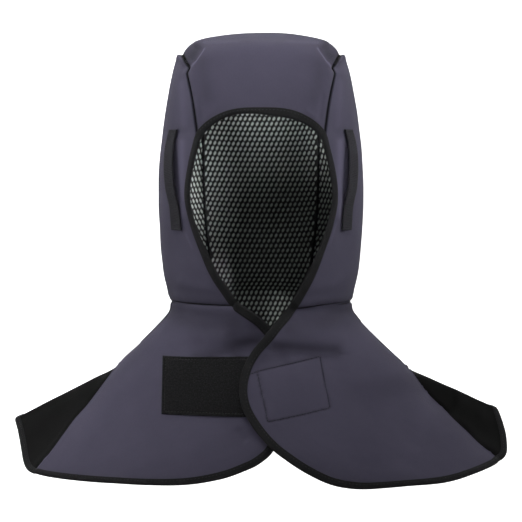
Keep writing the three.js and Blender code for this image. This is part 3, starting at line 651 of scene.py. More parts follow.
def settle(g, outward, part, seams, seed, amount=0.55):
    """Cloth grid with its seams, creases and unevenness; also its painted shading: painted shade in the seam grooves
    and hollows (0 to 1), painted highlight along the creases (0 to -1).
    """
    n = grid_normals(g, outward)
    creases, light = crease_rise(g, part)
    rise = drape_noise(g, amount, seed) + creases
    painted_shading = -light
    for path, deep, wide, puff, out, spread, s, lip in seams:
        reach = 0.85 if lip is None else 2.0
        d, run = nearest(g, path)
        high = ease((g[..., 2] + 62) / 26) if lip is not None else 0.0
        rise = rise * (1 - 0.8 * np.exp(-((d / 4) ** 2)))
        rise += groove(d, run, deep * (1 - 0.85 * high), wide, puff, out, spread, s)
        if lip is not None:
            rise += lip * ease((g[..., 2] + 46) / 16) * (g[..., 1] < 40) * np.exp(-(((d - 3.4) / 3.0) ** 2))
        # painted shade in the seam groove: the cloth is darkened close to the seam line
        near = np.exp(-((d / reach) ** 4))
        painted_shading = np.where(near > 0.05, np.maximum(painted_shading, near), painted_shading)
    made = g + n * rise[..., None]
    return made, grid_normals(made, outward), painted_shading


CROWN_SEAM = (2.4, 1.3, 0.35, 6, 4.0)
SIDE_SEAM = (2.2, 1.3, 0.5, 5.5, 4.0)
NECK_SEAM = (2.0, 1.3, 0.8, 7.0, 5.0)
DRAPE_NECK = (1.1, 1.1, 0.4, 5.0, 4.0)
DRAPE_TOP = NECK + np.array([0, 0, -1.2])


def raised(g):
    """The drape's upper edge pulled up against the hood's lower edge."""
    out = g.copy()
    out[..., 2] += 1.2 * np.exp(-((nearest(g, DRAPE_TOP)[0] / 4) ** 2))
    return out


FLAPS = {h: raised(FLAPS[h]) for h in (1, -1)}
BACK = raised(BACK)

crown, crown_n, crown_painted_shading = settle(
    CROWN_GRID, from_middle, 0,
    [(SEAMS[1], *CROWN_SEAM, 11, 0.0), (SEAMS[-1], *CROWN_SEAM, 12, 0.0), (NECK, *NECK_SEAM, 13, None)], 21,
)
sides, flaps = {}, {}
for h in (1, -1):
    sides[h] = settle(SIDES[h], from_middle, 1, [(SEAMS[h], *SIDE_SEAM, 14 + h, 2.7), (NECK, *NECK_SEAM, 13, None)], 31 + h)
    g = FLAPS[h]
    flaps[h] = settle(g, from_axis, 3 if h > 0 else 2, [(DRAPE_TOP, *DRAPE_NECK, 17, None)], 41 + h, 0.8)
back, back_n, back_painted_shading = settle(BACK, from_axis, 9, [(DRAPE_TOP, *DRAPE_NECK, 17, None)], 51, 0.9)

# the grey flap's edge is turned under and lies on the black panel along the shoulder seam
for h in (1, -1):
    g, n, painted_shading = flaps[h]
    d, run = nearest(g, JOIN[h])
    low = ease((V_ROWS - 0.36) / 0.1)[:, None]
    g = g + n * (low * (1.0 * np.exp(-(((d - 2.2) / 1.9) ** 2)) - 0.7 * np.exp(-((d / 0.8) ** 2)) + 0.35 * np.exp(-(((d - 6) / 3) ** 2)) * (1 + 0.6 * waves(run, 11, 60 + h))))[..., None]
    # painted highlight along the turned-under edge of the grey flap, where the painted shading goes below 0
    flaps[h] = (g, grid_normals(g, from_axis), np.where(painted_shading > 0.3, painted_shading, painted_shading - 0.75 * low * np.exp(-(((d - 0.9) / 0.9) ** 2))))
drop_at = clustered(84, 0.45)[:, None]
for h in (1, -1):
    d, run = nearest(back, JOIN[h])
    low = ease((drop_at - 0.36) / 0.1)
    back = back - back_n * (low * 1.3 * np.exp(-((d / 3.5) ** 2)))[..., None]
    # painted shade on the black panel along the shoulder seam
    back_painted_shading = np.maximum(back_painted_shading, low * np.exp(-((d / 1.6) ** 2)))
back_n = grid_normals(back, from_axis)


# ------------------------------------------------------------------ meshes
def add_mesh(name, verts, faces, uv=None, painted_shading=None):
    me = bpy.data.meshes.new(name)
    me.from_pydata((np.asarray(verts) * MM).tolist(), [], [list(map(int, f)) for f in faces])
    me.polygons.foreach_set("use_smooth", np.ones(len(me.polygons), bool))
    loops = np.empty(len(me.loops), np.int32)
    me.loops.foreach_get("vertex_index", loops)
    if uv is not None:
        layer = me.uv_layers.new(name="weave")
        layer.data.foreach_set("uv", np.asarray(uv, np.float32)[loops].ravel())
    # the 'seam' attribute holds the painted shading: painted shade in seams and hollows above 0, painted highlight
    # along creases below 0
    if painted_shading is not None:
        a = me.attributes.new("seam", "FLOAT", "POINT")
        a.data.foreach_set("value", np.asarray(painted_shading, np.float32).ravel())
    me.update()
    o = bpy.data.objects.new(name, me)
    bpy.context.scene.collection.objects.link(o)
    return o


def quads(n, m, start=0, flip=False):
    i, j = np.meshgrid(np.arange(n - 1), np.arange(m - 1), indexing="ij")
    a = start + (i * m + j).ravel()
    q = np.stack([a, a + 1, a + m + 1, a + m], 1)
    return q[:, ::-1] if flip else q


def shell_parts(g, n, thick, uv=None, painted_shading=None, start=0):
    """A wall of cloth under a grid: outer face, inner face and rim."""
    rows, cols = g.shape[:2]
    count = rows * cols
    uv = lengths(g) if uv is None else uv
    painted_shading = np.zeros((rows, cols)) if painted_shading is None else painted_shading
    verts = [g.reshape(-1, 3), (g - n * thick).reshape(-1, 3)]
    inward = (np.cross(g[0, 1] - g[0, 0], g[1, 0] - g[0, 0]) * n[0, 0]).sum() < 0
    faces = [quads(rows, cols, start, inward), quads(rows, cols, start + count, not inward)]
    index = np.arange(count).reshape(rows, cols)
    rim = np.concatenate([index[0, :-1], index[:-1, -1], index[-1, :0:-1], index[:0:-1, 0]])
    following = np.roll(rim, -1)
    strip = start + np.stack([rim, following, following + count, rim + count], 1)
    faces.append(strip[:, ::-1] if not inward else strip)
    uvs = [uv.reshape(-1, 2)] * 2
    painted_shadings = [painted_shading.ravel()] * 2
    flat = np.concatenate([np.zeros(len(faces[0]) * 2, bool), np.ones(len(strip), bool)])
    return np.concatenate(verts), np.concatenate(faces), np.concatenate(uvs), np.concatenate(painted_shadings), flat


def joined(name, parts):
    verts, faces, uvs, painted_shadings, flats, start = [], [], [], [], [], 0
    for v, f, uv, c, flat in parts:
        verts.append(v)
        faces.append(f + start)
        uvs.append(uv)
        painted_shadings.append(c)
        flats.append(flat)
        start += len(v)
    o = add_mesh(name, np.concatenate(verts), np.concatenate(faces), np.concatenate(uvs), np.concatenate(painted_shadings))
    o.data.polygons.foreach_set("use_smooth", ~np.concatenate(flats))
    return o


def shell(name, g, n, thick, painted_shading=None):
    return joined(name, [shell_parts(g, n, thick, painted_shading=painted_shading)])


def tucked(g, n, painted_shading):
    """The drape's upper edge goes on up behind the hood's lower edge, as a seam allowance, painted fully dark as shade.
    """
    up = np.array([0, 0, 1.0])
    extra = np.stack([g[0] + up * 5.0 - n[0] * 2.0, g[0] + up * 2.2 - n[0] * 1.7, g[0] + up * 0.7 - n[0] * 0.9])
    return np.concatenate([extra, g]), np.concatenate([n[:1]] * 3 + [n]), np.concatenate([np.ones((3, g.shape[1])), painted_shading])


def allowance(g, n, painted_shading):
    """The crown's long edges go on under the side panels, as seam allowances, painted fully dark as shade."""
    first = g[:, :1] + unit(g[:, :1] - g[:, 2:3]) * 2.5 - n[:, :1] * 1.9
    last = g[:, -1:] + unit(g[:, -1:] - g[:, -3:-2]) * 2.5 - n[:, -1:] * 1.9
    painted_shade_rows = np.ones((len(g), 1))
    return np.concatenate([first, g, last], 1), np.concatenate([n[:, :1], n, n[:, -1:]], 1), np.concatenate([painted_shade_rows, painted_shading, painted_shade_rows], 1)


pieces = {}
edged, edged_n, edged_painted_shading = allowance(crown, crown_n, crown_painted_shading)
pieces["crown_cloth"] = shell("crown_cloth", edged, edged_n, CLOTH, edged_painted_shading)
pieces["side_cloth_R"] = shell("side_cloth_R", sides[1][0], sides[1][1], CLOTH, sides[1][2])
pieces["side_cloth_L"] = shell("side_cloth_L", sides[-1][0], sides[-1][1], CLOTH, sides[-1][2])


# ------------------------------------------------------------------ stitched rectangle dents on the right flap
def corners_path(corners, inset, gap=0.8):
    """Closed path in x, z just inside four corners."""
    c = corners.mean(0)
    q = np.array([p + (c - p) / np.linalg.norm(c - p) * inset * 1.4 for p in corners])
    out = []
    for i in range(4):
        a, b = q[i], q[(i + 1) % 4]
        k = max(2, int(np.linalg.norm(b - a) / gap))
        out.append(a + (b - a) * np.linspace(0, 1, k, endpoint=False)[:, None])
    out.append(q[:1])
    return np.concatenate(out)


def on_grid(g, n, xz):
    """Points and normals of a flap grid at places x, z of the front view."""
    flat, fn = g.reshape(-1, 3), n.reshape(-1, 3)
    p, q = np.empty((len(xz), 3)), np.empty((len(xz), 3))
    for i, (x, z) in enumerate(xz):
        d = (flat[:, 0] - x) ** 2 + (flat[:, 2] - z) ** 2
        k = np.argpartition(d, 6)[:6]
        w = 1 / (d[k] + 0.05)
        w /= w.sum()
        p[i], q[i] = (flat[k] * w[:, None]).sum(0), (fn[k] * w[:, None]).sum(0)
        p[i, 0], p[i, 2] = x, z
    return p, unit(q)


HOOK_TAIL = np.stack([np.linspace(-4.0, -12.8, 12), np.linspace(-341.4, -345.2, 12)], 1)
hook_line = corners_path(HOOK_CORNERS, 0.0)
g, n, painted_shading = flaps[1]
run_xz = np.concatenate([hook_line, HOOK_TAIL])
dist = np.full(g.shape[:2], 1e3)
inside = np.ones(g.shape[:2], bool)
for a in range(0, len(run_xz), 64):
    part = run_xz[a : a + 64]
    dist = np.minimum(dist, np.hypot(g[..., None, 0] - part[:, 0], g[..., None, 2] - part[:, 1]).min(-1))
for i in range(4):
    a, b = HOOK_CORNERS[i], HOOK_CORNERS[(i + 1) % 4]
    inside &= ((b[0] - a[0]) * (g[..., 2] - a[1]) - (b[1] - a[1]) * (g[..., 0] - a[0])) < 0
pucker = 0.25 * noise(g, 7, 71) * np.exp(-((dist - 3) / 3) ** 2)
g = g + n * (-0.7 * np.exp(-((dist / 1.0) ** 2)) + np.where(inside, 0.45, 0.0) * (1 - np.exp(-((dist / 4) ** 2))) + pucker)[..., None]
# painted shade along the stitched dents of the rectangle
flaps[1] = (g, grid_normals(g, from_axis), np.maximum(painted_shading, 0.45 * np.exp(-((dist / 0.8) ** 2))))

for name, (g, n, painted_shading) in {"drape_cloth_R": flaps[1], "drape_cloth_L": flaps[-1], "drape_cloth_back": (back, back_n, back_painted_shading)}.items():
    g, n, painted_shading = tucked(g, n, painted_shading)
    pieces[name] = shell(name, g, n, CLOTH, painted_shading)

# ------------------------------------------------------------------ lining: pale ground and black net
NET_PITCH, NET_ROW = 5.4, 5.7
GROUND_DEPTH, GROUND = 2.3, 0.5
NET_DEPTH, NET_RIDGE = 3.0, 0.85


def thinned(g, step_r, step_c):
    r = np.unique(np.concatenate([np.arange(0, g.shape[0], step_r), [g.shape[0] - 1]]))
    c = np.unique(np.concatenate([np.arange(0, g.shape[1], step_c), [g.shape[1] - 1]]))
    return g[np.ix_(r, c)]


# the lining's three panels run on below the neck seam as a loose skirt
falls = np.linspace(0, 54, 19)
skirt = []
for f in falls[1:]:
    front = 1 - (1 - through(SKIRT["fall"], SKIRT["front"], f)) * ease(f / 12)
    rear = through(SKIRT["fall"], SKIRT["back"], f)
    scale = np.where(NECK[:, 1] < 0, front, rear)
    skirt.append(np.stack([NECK[:, 0] * min(1, front + 0.02), NECK[:, 1] * scale, NECK[:, 2] - f], 1))
skirt = np.array(skirt)
columns = len(ACROSS)
lining_grids = {
    "crown": thinned(np.concatenate([CROWN_GRID, skirt[:, columns:-columns][:, ::-1]]), 3, 3),
    "right": thinned(np.concatenate([skirt[::-1, :columns], SIDES[1]]), 3, 3),
    "left": thinned(np.concatenate([skirt[::-1, -columns:][:, ::-1], SIDES[-1]]), 3, 3),
}
ground_parts, net_parts = [], []


def lattice(g, n, depth_ridge, depth_edge):
    """A net over a grid: six-sided meshes with raised strands, in the grid's own lengths."""
    step = np.linalg.norm(np.diff(g, axis=1), axis=2)
    s = np.concatenate([np.zeros((len(g), 1)), np.cumsum(step, axis=1)], 1)
    s -= s[:, [g.shape[1] // 2]]
    t = arc(g[:, g.shape[1] // 2])
    h1 = NET_ROW / 2 + NET_PITCH**2 / (8 * NET_ROW)
    h2 = NET_ROW / 2 - NET_PITCH**2 / (8 * NET_ROW)
    outer = [(0, h1), (NET_PITCH / 2, h2), (NET_PITCH / 2, -h2), (0, -h1), (-NET_PITCH / 2, -h2), (-NET_PITCH / 2, h2)]
    hole = [(-0.6, 2.65), (1.4, 0.6), (1.85, -1.0), (0.6, -2.65), (-1.4, -0.6), (-1.85, 1.0)]
    keys, edge_keys, cells = {}, [], []
    ring, faces = [], []
    for k in range(int(t[-1] / NET_ROW) + 1):
        tc = (k + 0.5) * NET_ROW
        if tc > t[-1] - 1.5:
            continue
        lo, hi = np.interp(tc, t, s[:, 0]), np.interp(tc, t, s[:, -1])
        shift = 0.5 * (k % 2)
        for j in range(int(math.floor(lo / NET_PITCH - 1)), int(math.ceil(hi / NET_PITCH + 1)) + 1):
            sc = (j + shift) * NET_PITCH
            if sc < lo - 1.6 or sc > hi + 1.6:
                continue
            open_part = 1.0 if lo + 1.2 <= sc <= hi - 1.2 else 0.04  # the net is closed along its seams
            a = []
            for dx, dy in outer:
                q = (round((sc + dx) * 50), round((tc + dy) * 50))
                if q not in keys:
                    keys[q] = len(ring)
                    ring.append((sc + dx, tc + dy, 0))
                a.append(keys[q])
            b = []
            for dx, dy in hole:
                b.append(len(ring))
                ring.append((sc + dx * open_part, tc + dy * open_part, 1))
            for i in range(6):
                face = [a[i], a[(i + 1) % 6], b[(i + 1) % 6], b[i]]
                along_s = [ring[v][0] for v in face]
                if max(along_s) > lo + 0.1 and min(along_s) < hi - 0.1:
                    faces.append(face)
    ring = np.array(ring)
    where = np.clip(ring[:, 1], 0, t[-1])
    i = np.clip(np.searchsorted(t, where, side="right") - 1, 0, len(t) - 2)
    f = ((where - t[i]) / (t[i + 1] - t[i]))[:, None]
    p, q = np.empty((len(ring), 3)), np.empty((len(ring), 3))
    for row in np.unique(i):
        m = i == row
        at = ring[m, 0]
        for source, target in ((g, p), (n, q)):
            low = np.stack([np.interp(at, s[row], source[row, :, c]) for c in range(3)], 1)
            high = np.stack([np.interp(at, s[row + 1], source[row + 1, :, c]) for c in range(3)], 1)
            target[m] = low * (1 - f[m]) + high * f[m]
    depth = np.where(ring[:, 2] == 0, depth_ridge, depth_edge)[:, None]
    verts = p - unit(q) * depth
    return verts, np.array(faces), ring[:, :2] / 10, np.zeros(len(ring)), np.zeros(len(faces), bool)


for name, g in lining_grids.items():
    n = grid_normals(g, from_middle)
    sink = 4.5 * np.exp(-(((g[..., 2] + 279) / 10) ** 2)) - 1.5 * np.minimum(crease_rise(g, 0 if name == "crown" else 1)[0], 0)
    for h in (1, -1):
        sink = sink + 3.0 * np.exp(-((nearest(g, SEAMS[h])[0] / 8) ** 2)) * ease((g[..., 2] + 75) / 15) * (g[..., 1] < 0)
    g = g - n * sink[..., None]
    ground_parts.append(shell_parts(g - n * GROUND_DEPTH, n, GROUND))
    net_parts.append(lattice(g, n, NET_DEPTH + NET_RIDGE, NET_DEPTH))
pieces["lining_ground"] = joined("lining_ground", ground_parts)
pieces["lining_net"] = joined("lining_net", net_parts)


# ------------------------------------------------------------------ edge tape
def tape_run():
    """Closed run along every free cloth edge: points, cloth normals and tape width."""
    p, n, w = [], [], []
    mid = crown.shape[1] // 2

    def add(points, normals, width):
        p.append(points)
        n.append(normals)
        w.append(np.broadcast_to(width, (len(points),)).astype(float))

    span = (V_ROWS.size - 1)
    hem_share = np.linspace(0, 1, flaps[1][0].shape[1])
    hem_width = HEM_TAPE_WIDTH + (FLAP_TAPE_WIDTH - HEM_TAPE_WIDTH) * (1 - ease(hem_share / 0.4))
    front_width = FLAP_TAPE_WIDTH + (TAPE_WIDTH - FLAP_TAPE_WIDTH) * (1 - ease((V_ROWS - 0.2) / 0.25))
    brow_x = crown[0, :, 0]
    brow_width = ARCH_TAPE_WIDTH - BROW_DROP * ease((64 - np.abs(brow_x)) / 24) - 0.4 * np.exp(-(((brow_x + 22) / 22) ** 2)) + 3.6 * np.exp(-(((brow_x - 24) / 24) ** 2))
    side_width = TAPE_WIDTH + (ARCH_TAPE_WIDTH - TAPE_WIDTH) * ease((ROW_AT[:FOOT_AT] - 2.5) / 2.5)
    add(crown[0, mid:], crown_n[0, mid:], brow_width[mid:])
    g, gn, _ = sides[1]
    add(g[:FOOT_AT, 0][::-1], gn[:FOOT_AT, 0][::-1], side_width[::-1])
    g, gn, _ = flaps[1]
    add(g[1:, 0], gn[1:, 0], front_width[1:])
    add(g[-1, 1:], gn[-1, 1:], hem_width[1:])
    add(back[-1, 1:], back_n[-1, 1:], HEM_TAPE_WIDTH)
    g, gn, _ = flaps[-1]
    add(g[-1, :-1][::-1], gn[-1, :-1][::-1], hem_width[:-1][::-1])
    add(g[1:-1, 0][::-1], gn[1:-1, 0][::-1], front_width[1:-1][::-1])
    g, gn, _ = sides[-1]
    add(g[:FOOT_AT, 0], gn[:FOOT_AT, 0], side_width)
    add(crown[0, :mid], crown_n[0, :mid], brow_width[:mid])
    p, n, w = np.concatenate(p), np.concatenate(n), np.concatenate(w)
    ring = np.concatenate([p, p[:1]])
    s = arc(ring)
    count = int(s[-1] / 1.4)
    t = np.linspace(0, s[-1], count, endpoint=False)
    every = lambda a: np.stack([np.interp(t, s, np.concatenate([a, a[:1]])[:, k]) for k in range(a.shape[1])], 1)
    p, n, w = every(p), every(n), every(w[:, None])[:, 0]
    return soften_ring(p, 2.2), unit(soften_ring(n, 5.0)), soften_ring(w, 6), t


tape_p, tape_n, tape_w, tape_t = tape_run()
tape_dir = unit(np.roll(tape_p, -1, 0) - np.roll(tape_p, 1, 0))
tape_out = unit(np.cross(tape_dir, tape_n))
tape_out = unit(soften_ring(tape_out, 3.0))
# section: reach over the cloth edge as a share of the width, a fixed part, and height over the cloth
SECTION = table(
    "share fixed high",
    [
        [0, -1.5, 0.15], [0, -1.3, 0.55], [0, -0.7, 0.80], [0.15, 0, 0.92], [0.45, 0, 1.00], [0.75, 0, 0.86],
        [1, -1.1, 0.55], [1, -0.4, 0.05], [1, 0, -0.75], [1, -0.4, -1.55], [1, -1.1, -2.05], [0.75, 0, -2.30],
        [0.45, 0, -2.40], [0.15, 0, -2.30], [0, -0.7, -2.15], [0, -1.4, -1.75],
    ],
)
uneven = 0.18 * waves(tape_t, 13, 81) + 0.16 * waves(tape_t, 31, 82)
tape_w = tape_w + 0.5 * waves(tape_t, 38, 83) * ease(np.minimum(tape_t, tape_t[-1] - tape_t) / 20)
reach = SECTION["share"][None] * tape_w[:, None] + SECTION["fixed"][None]
high = SECTION["high"][None] + uneven[:, None] * np.sin(np.pi * np.clip(SECTION["share"], 0, 1))[None]
tape_rings = tape_p[:, None] + tape_out[:, None] * reach[..., None] + tape_n[:, None] * high[..., None]
k, m = tape_rings.shape[:2]
a = np.arange(k)[:, None] * m + np.arange(m)[None]
b = ((np.arange(k) + 1) % k)[:, None] * m + np.arange(m)[None]
faces = np.stack([a, b, np.roll(b, -1, 1), np.roll(a, -1, 1)], -1).reshape(-1, 4)
around = np.concatenate([[0], np.cumsum(np.hypot(np.diff(SECTION["share"] * TAPE_WIDTH + SECTION["fixed"]), np.diff(SECTION["high"])))])
tape_uv = np.stack(np.broadcast_arrays(tape_t[:, None] / 10, around[None] / 10), -1).reshape(-1, 2)
pieces["edge_binding"] = add_mesh("edge_binding", tape_rings.reshape(-1, 3), faces[:, ::-1], tape_uv, np.zeros(k * m))


# ------------------------------------------------------------------ webbing loops
def webbing(name, hand):
    k = np.linspace(0, len(STRAP["row"]) - 1, 161)
    at = lambda c: soften(through(np.arange(len(STRAP["row"])), STRAP[c], k), 3)
    row, across, free = at("row"), at("across"), at("free")
    p = side_points(row, across, hand)
    wide = unit(side_points(row, across + 0.01, hand) - side_points(row, across - 0.01, hand))
    up = unit(side_points(row + 0.05, across, hand) - side_points(row - 0.05, across, hand))
    n = unit(np.cross(wide, up) * hand)
    p = p + n * (WEBBING_CLEAR + WEBBING / 2 + free)[:, None]
    run = unit(np.gradient(p, axis=0))
    flat = wide
    wide = unit(wide - run * (wide * run).sum(1, keepdims=True))
    s = arc(p)
    end = (1 - ease((np.minimum(s, s[-1] - s) - 3) / 10))[:, None]
    wide = unit(wide + (unit(flat * np.array([1, 1, 0])) - wide) * end)
    n = unit(np.cross(wide, run) * hand)
    half, thick = WEBBING_WIDTH / 2, WEBBING / 2
    section = np.array([
        [-1, -0.6], [-0.97, -0.95], [-0.85, -1], [-0.5, -0.95], [0, -0.9], [0.5, -0.95], [0.85, -1], [0.97, -0.95], [1, -0.6],
        [1, 0.6], [0.97, 0.95], [0.85, 1.05], [0.5, 0.98], [0, 0.94], [-0.5, 0.98], [-0.85, 1.05], [-0.97, 0.95], [-1, 0.6],
    ])
    wave = 0.10 * waves(s, 7, 90 + hand)
    rings = p[:, None] + wide[:, None] * (section[None, :, 0, None] * half * (1 + 0.012 * waves(s, 4, 93 + hand))[:, None, None])
    rings = rings + n[:, None] * (section[None, :, 1, None] * thick + wave[:, None, None])
    c, m = rings.shape[:2]
    a = np.arange(c - 1)[:, None] * m + np.arange(m)[None]
    faces = np.stack([a, a + m, np.roll(a, -1, 1) + m, np.roll(a, -1, 1)], -1).reshape(-1, 4)
    caps = [list(range(m)), list(range((c - 1) * m, c * m))[::-1]]
    faces = [list(f) for f in (faces if hand < 0 else faces[:, ::-1])] + (caps if hand < 0 else [x[::-1] for x in caps])
    girth = np.concatenate([[0], np.cumsum(np.hypot(*np.diff(section * [half, thick], axis=0).T))])
    uv = np.stack(np.broadcast_arrays(s[:, None] / 10, girth[None] / 10), -1).reshape(-1, 2)
    o = add_mesh(name, rings.reshape(-1, 3), faces, uv, np.zeros(c * m))
    top = p + n * thick * 1.05
    return o, top, n, wide, s


strap = {h: webbing("webbing_L" if h < 0 else "webbing_R", h) for h in (1, -1)}
pieces["webbing_R"], pieces["webbing_L"] = strap[1][0], strap[-1][0]


# ------------------------------------------------------------------ patches
def patch(name, corners, hand, over, thick, fuzz, seed, cols=128, rows=96):
    u, v = clustered(cols, 0.3)[None], clustered(rows, 0.3)[:, None]
    c = corners
    xz = (1 - v)[..., None] * ((1 - u)[..., None] * c[0] + u[..., None] * c[1]) + v[..., None] * ((1 - u)[..., None] * c[3] + u[..., None] * c[2])
    base = flap_points(xz[..., 0], xz[..., 1], hand)
    n = grid_normals(base, from_axis)
    flap_g, flap_n, _ = flaps[hand]
    step = 8
    r = np.unique(np.concatenate([np.arange(0, rows + 1, step), [rows]]))
    q = np.unique(np.concatenate([np.arange(0, cols + 1, step), [cols]]))
    coarse = on_grid(flap_g, flap_n, xz[np.ix_(r, q)].reshape(-1, 2))[0][:, 1].reshape(len(r), len(q))
    across = np.stack([np.interp(np.arange(cols + 1), q, row) for row in coarse])
    base[..., 1] = np.stack([np.interp(np.arange(rows + 1), r, across[:, j]) for j in range(cols + 1)], 1)
    base = soften(soften(base, 3).transpose(1, 0, 2), 3).transpose(1, 0, 2)
    n = grid_normals(base, from_axis)
    edge = np.minimum(np.minimum(u, 1 - u) * 76, np.minimum(v, 1 - v) * 57)
    pile = fuzz * (0.6 * noise(base, 1.5, seed) + 0.5 * noise(base, 3.1, seed + 1)) * ease(edge / 1.5)
    seam_line = -0.5 * np.exp(-(((edge - 2.6) / 0.8) ** 2)) * (fuzz > 0)
    dome = -0.35 * np.exp(-edge / 0.8)
    top = base + n * (over + thick + pile + seam_line + dome)[..., None]
    return joined(name, [shell_parts(top, n, thick)]), base + n * (over + thick), n


pieces["pile_patch"], patch_top, patch_n = patch("pile_patch", LOOP_CORNERS, -1, 0.5, 1.5, 0.28, 101)
pieces["hook_patch_back"] = patch("hook_patch_back", HOOK_CORNERS, 1, -CLOTH - 2.2, 1.4, 0.0, 111, 48, 40)[0]


# ------------------------------------------------------------------ stitches
def stitches(name, runs, length, gap, radius, lift=0.35, seed=0):
    """Rows of sewing stitches along runs of points with normals, as one mesh."""
    verts, faces, uvs = [], [], []
    sides6 = np.arange(6) / 6 * 2 * np.pi
    shape = np.array([0.35, 0.9, 1.0, 0.9, 0.35])
    arch = np.array([-0.7, 0.1, 0.35, 0.1, -0.7])
    rng = np.random.default_rng(seed)
    for points, normals in runs:
        s = arc(points)
        count = int(s[-1] / (length + gap))
        if count < 1:
            continue
        pitch = s[-1] / count
        for c in range(count):
            t = c * pitch + gap / 2 + np.linspace(0, pitch - gap, 5) + rng.uniform(-0.1, 0.1)
            p = np.stack([np.interp(t, s, points[:, k]) for k in range(3)], 1)
            n = unit(np.stack([np.interp(t, s, normals[:, k]) for k in range(3)], 1))
            d = unit(np.gradient(p, axis=0))
            b = unit(np.cross(d, n))
            p = p + n * (arch * radius + lift * radius)[:, None] + b * rng.uniform(-0.12, 0.12)
            ring = p[:, None] + radius * shape[:, None, None] * (np.cos(sides6)[None, :, None] * b[:, None] + np.sin(sides6)[None, :, None] * n[:, None])
            base = len(verts) * 30
            verts.append(ring.reshape(-1, 3))
            uvs.append(np.stack(np.broadcast_arrays(t[:, None] / 10, (np.arange(6) / 6 * radius * 6 / 10)[None]), -1).reshape(-1, 2))
            for i in range(4):
                for j in range(6):
                    x, y = base + i * 6 + j, base + i * 6 + (j + 1) % 6
                    faces.append([x, x + 6, y + 6, y])
            faces.append([base + j for j in range(6)])
            faces.append([base + 24 + j for j in range(5, -1, -1)])
    return add_mesh(name, np.concatenate(verts), faces, np.concatenate(uvs), np.zeros(len(verts) * 30))


# border of the pile patch
rows_n, cols_n = patch_top.shape[:2]
inset_r = int(np.argmin(np.abs(clustered(96, 0.3) * 57 - 2.6)))
inset_c = int(np.argmin(np.abs(clustered(128, 0.3) * 76 - 2.6)))
r0, r1, c0, c1 = inset_r, rows_n - 1 - inset_r, inset_c, cols_n - 1 - inset_c
border = [(r0, slice(c0, c1 + 1)), (slice(r0, r1 + 1), c1), (r1, slice(c0, c1 + 1)), (slice(r0, r1 + 1), c0)]
patch_runs = [(patch_top[b] - patch_n[b] * 0.35, patch_n[b]) for b in border]
pieces["patch_stitches"] = stitches("patch_stitches", patch_runs, 2.3, 0.9, 0.38, seed=1)

# rectangle and its tail on the right flap
runs = []
for i in range(4):
    a, b = HOOK_CORNERS[i], HOOK_CORNERS[(i + 1) % 4]
    runs.append(on_grid(*flaps[1][:2], a + (b - a) * np.linspace(0, 1, 60)[:, None]))
runs.append(on_grid(*flaps[1][:2], HOOK_TAIL))
pieces["flap_stitches"] = stitches("flap_stitches", runs, 2.4, 0.4, 0.42, lift=0.25, seed=2)

# row along the sewn side of the edge tape
tape_line = tape_p + tape_out * 0.9 + tape_n * (0.86 + uneven * 0.3)[:, None]
pieces["tape_stitches"] = stitches("tape_stitches", [(np.concatenate([tape_line, tape_line[:1]]), np.concatenate([tape_n, tape_n[:1]]))], 2.6, 1.0, 0.24, lift=0.1, seed=3)

# bar tacks at the webbing ends
tack_runs = []
for h in (1, -1):
    _, top, n, wide, s = strap[h]
    for at in (2.2, 4.6, s[-1] - 4.6, s[-1] - 2.2):
        i = int(np.argmin(np.abs(s - at)))
        x = np.linspace(-0.86, 0.86, 14)[:, None] * WEBBING_WIDTH / 2
        tack_runs.append((top[i] + wide[i] * x, np.repeat(n[[i]], 14, 0)))
pieces["webbing_tacks"] = stitches("webbing_tacks", tack_runs, 1.3, 0.35, 0.36, lift=0.3, seed=4)


# ------------------------------------------------------------------ materials
def linear(r, g, b):
    f = lambda c: c / 12.92 if c <= 0.04045 else ((c + 0.055) / 1.055) ** 2.4
    return (f(r / 255), f(g / 255), f(b / 255), 1.0)


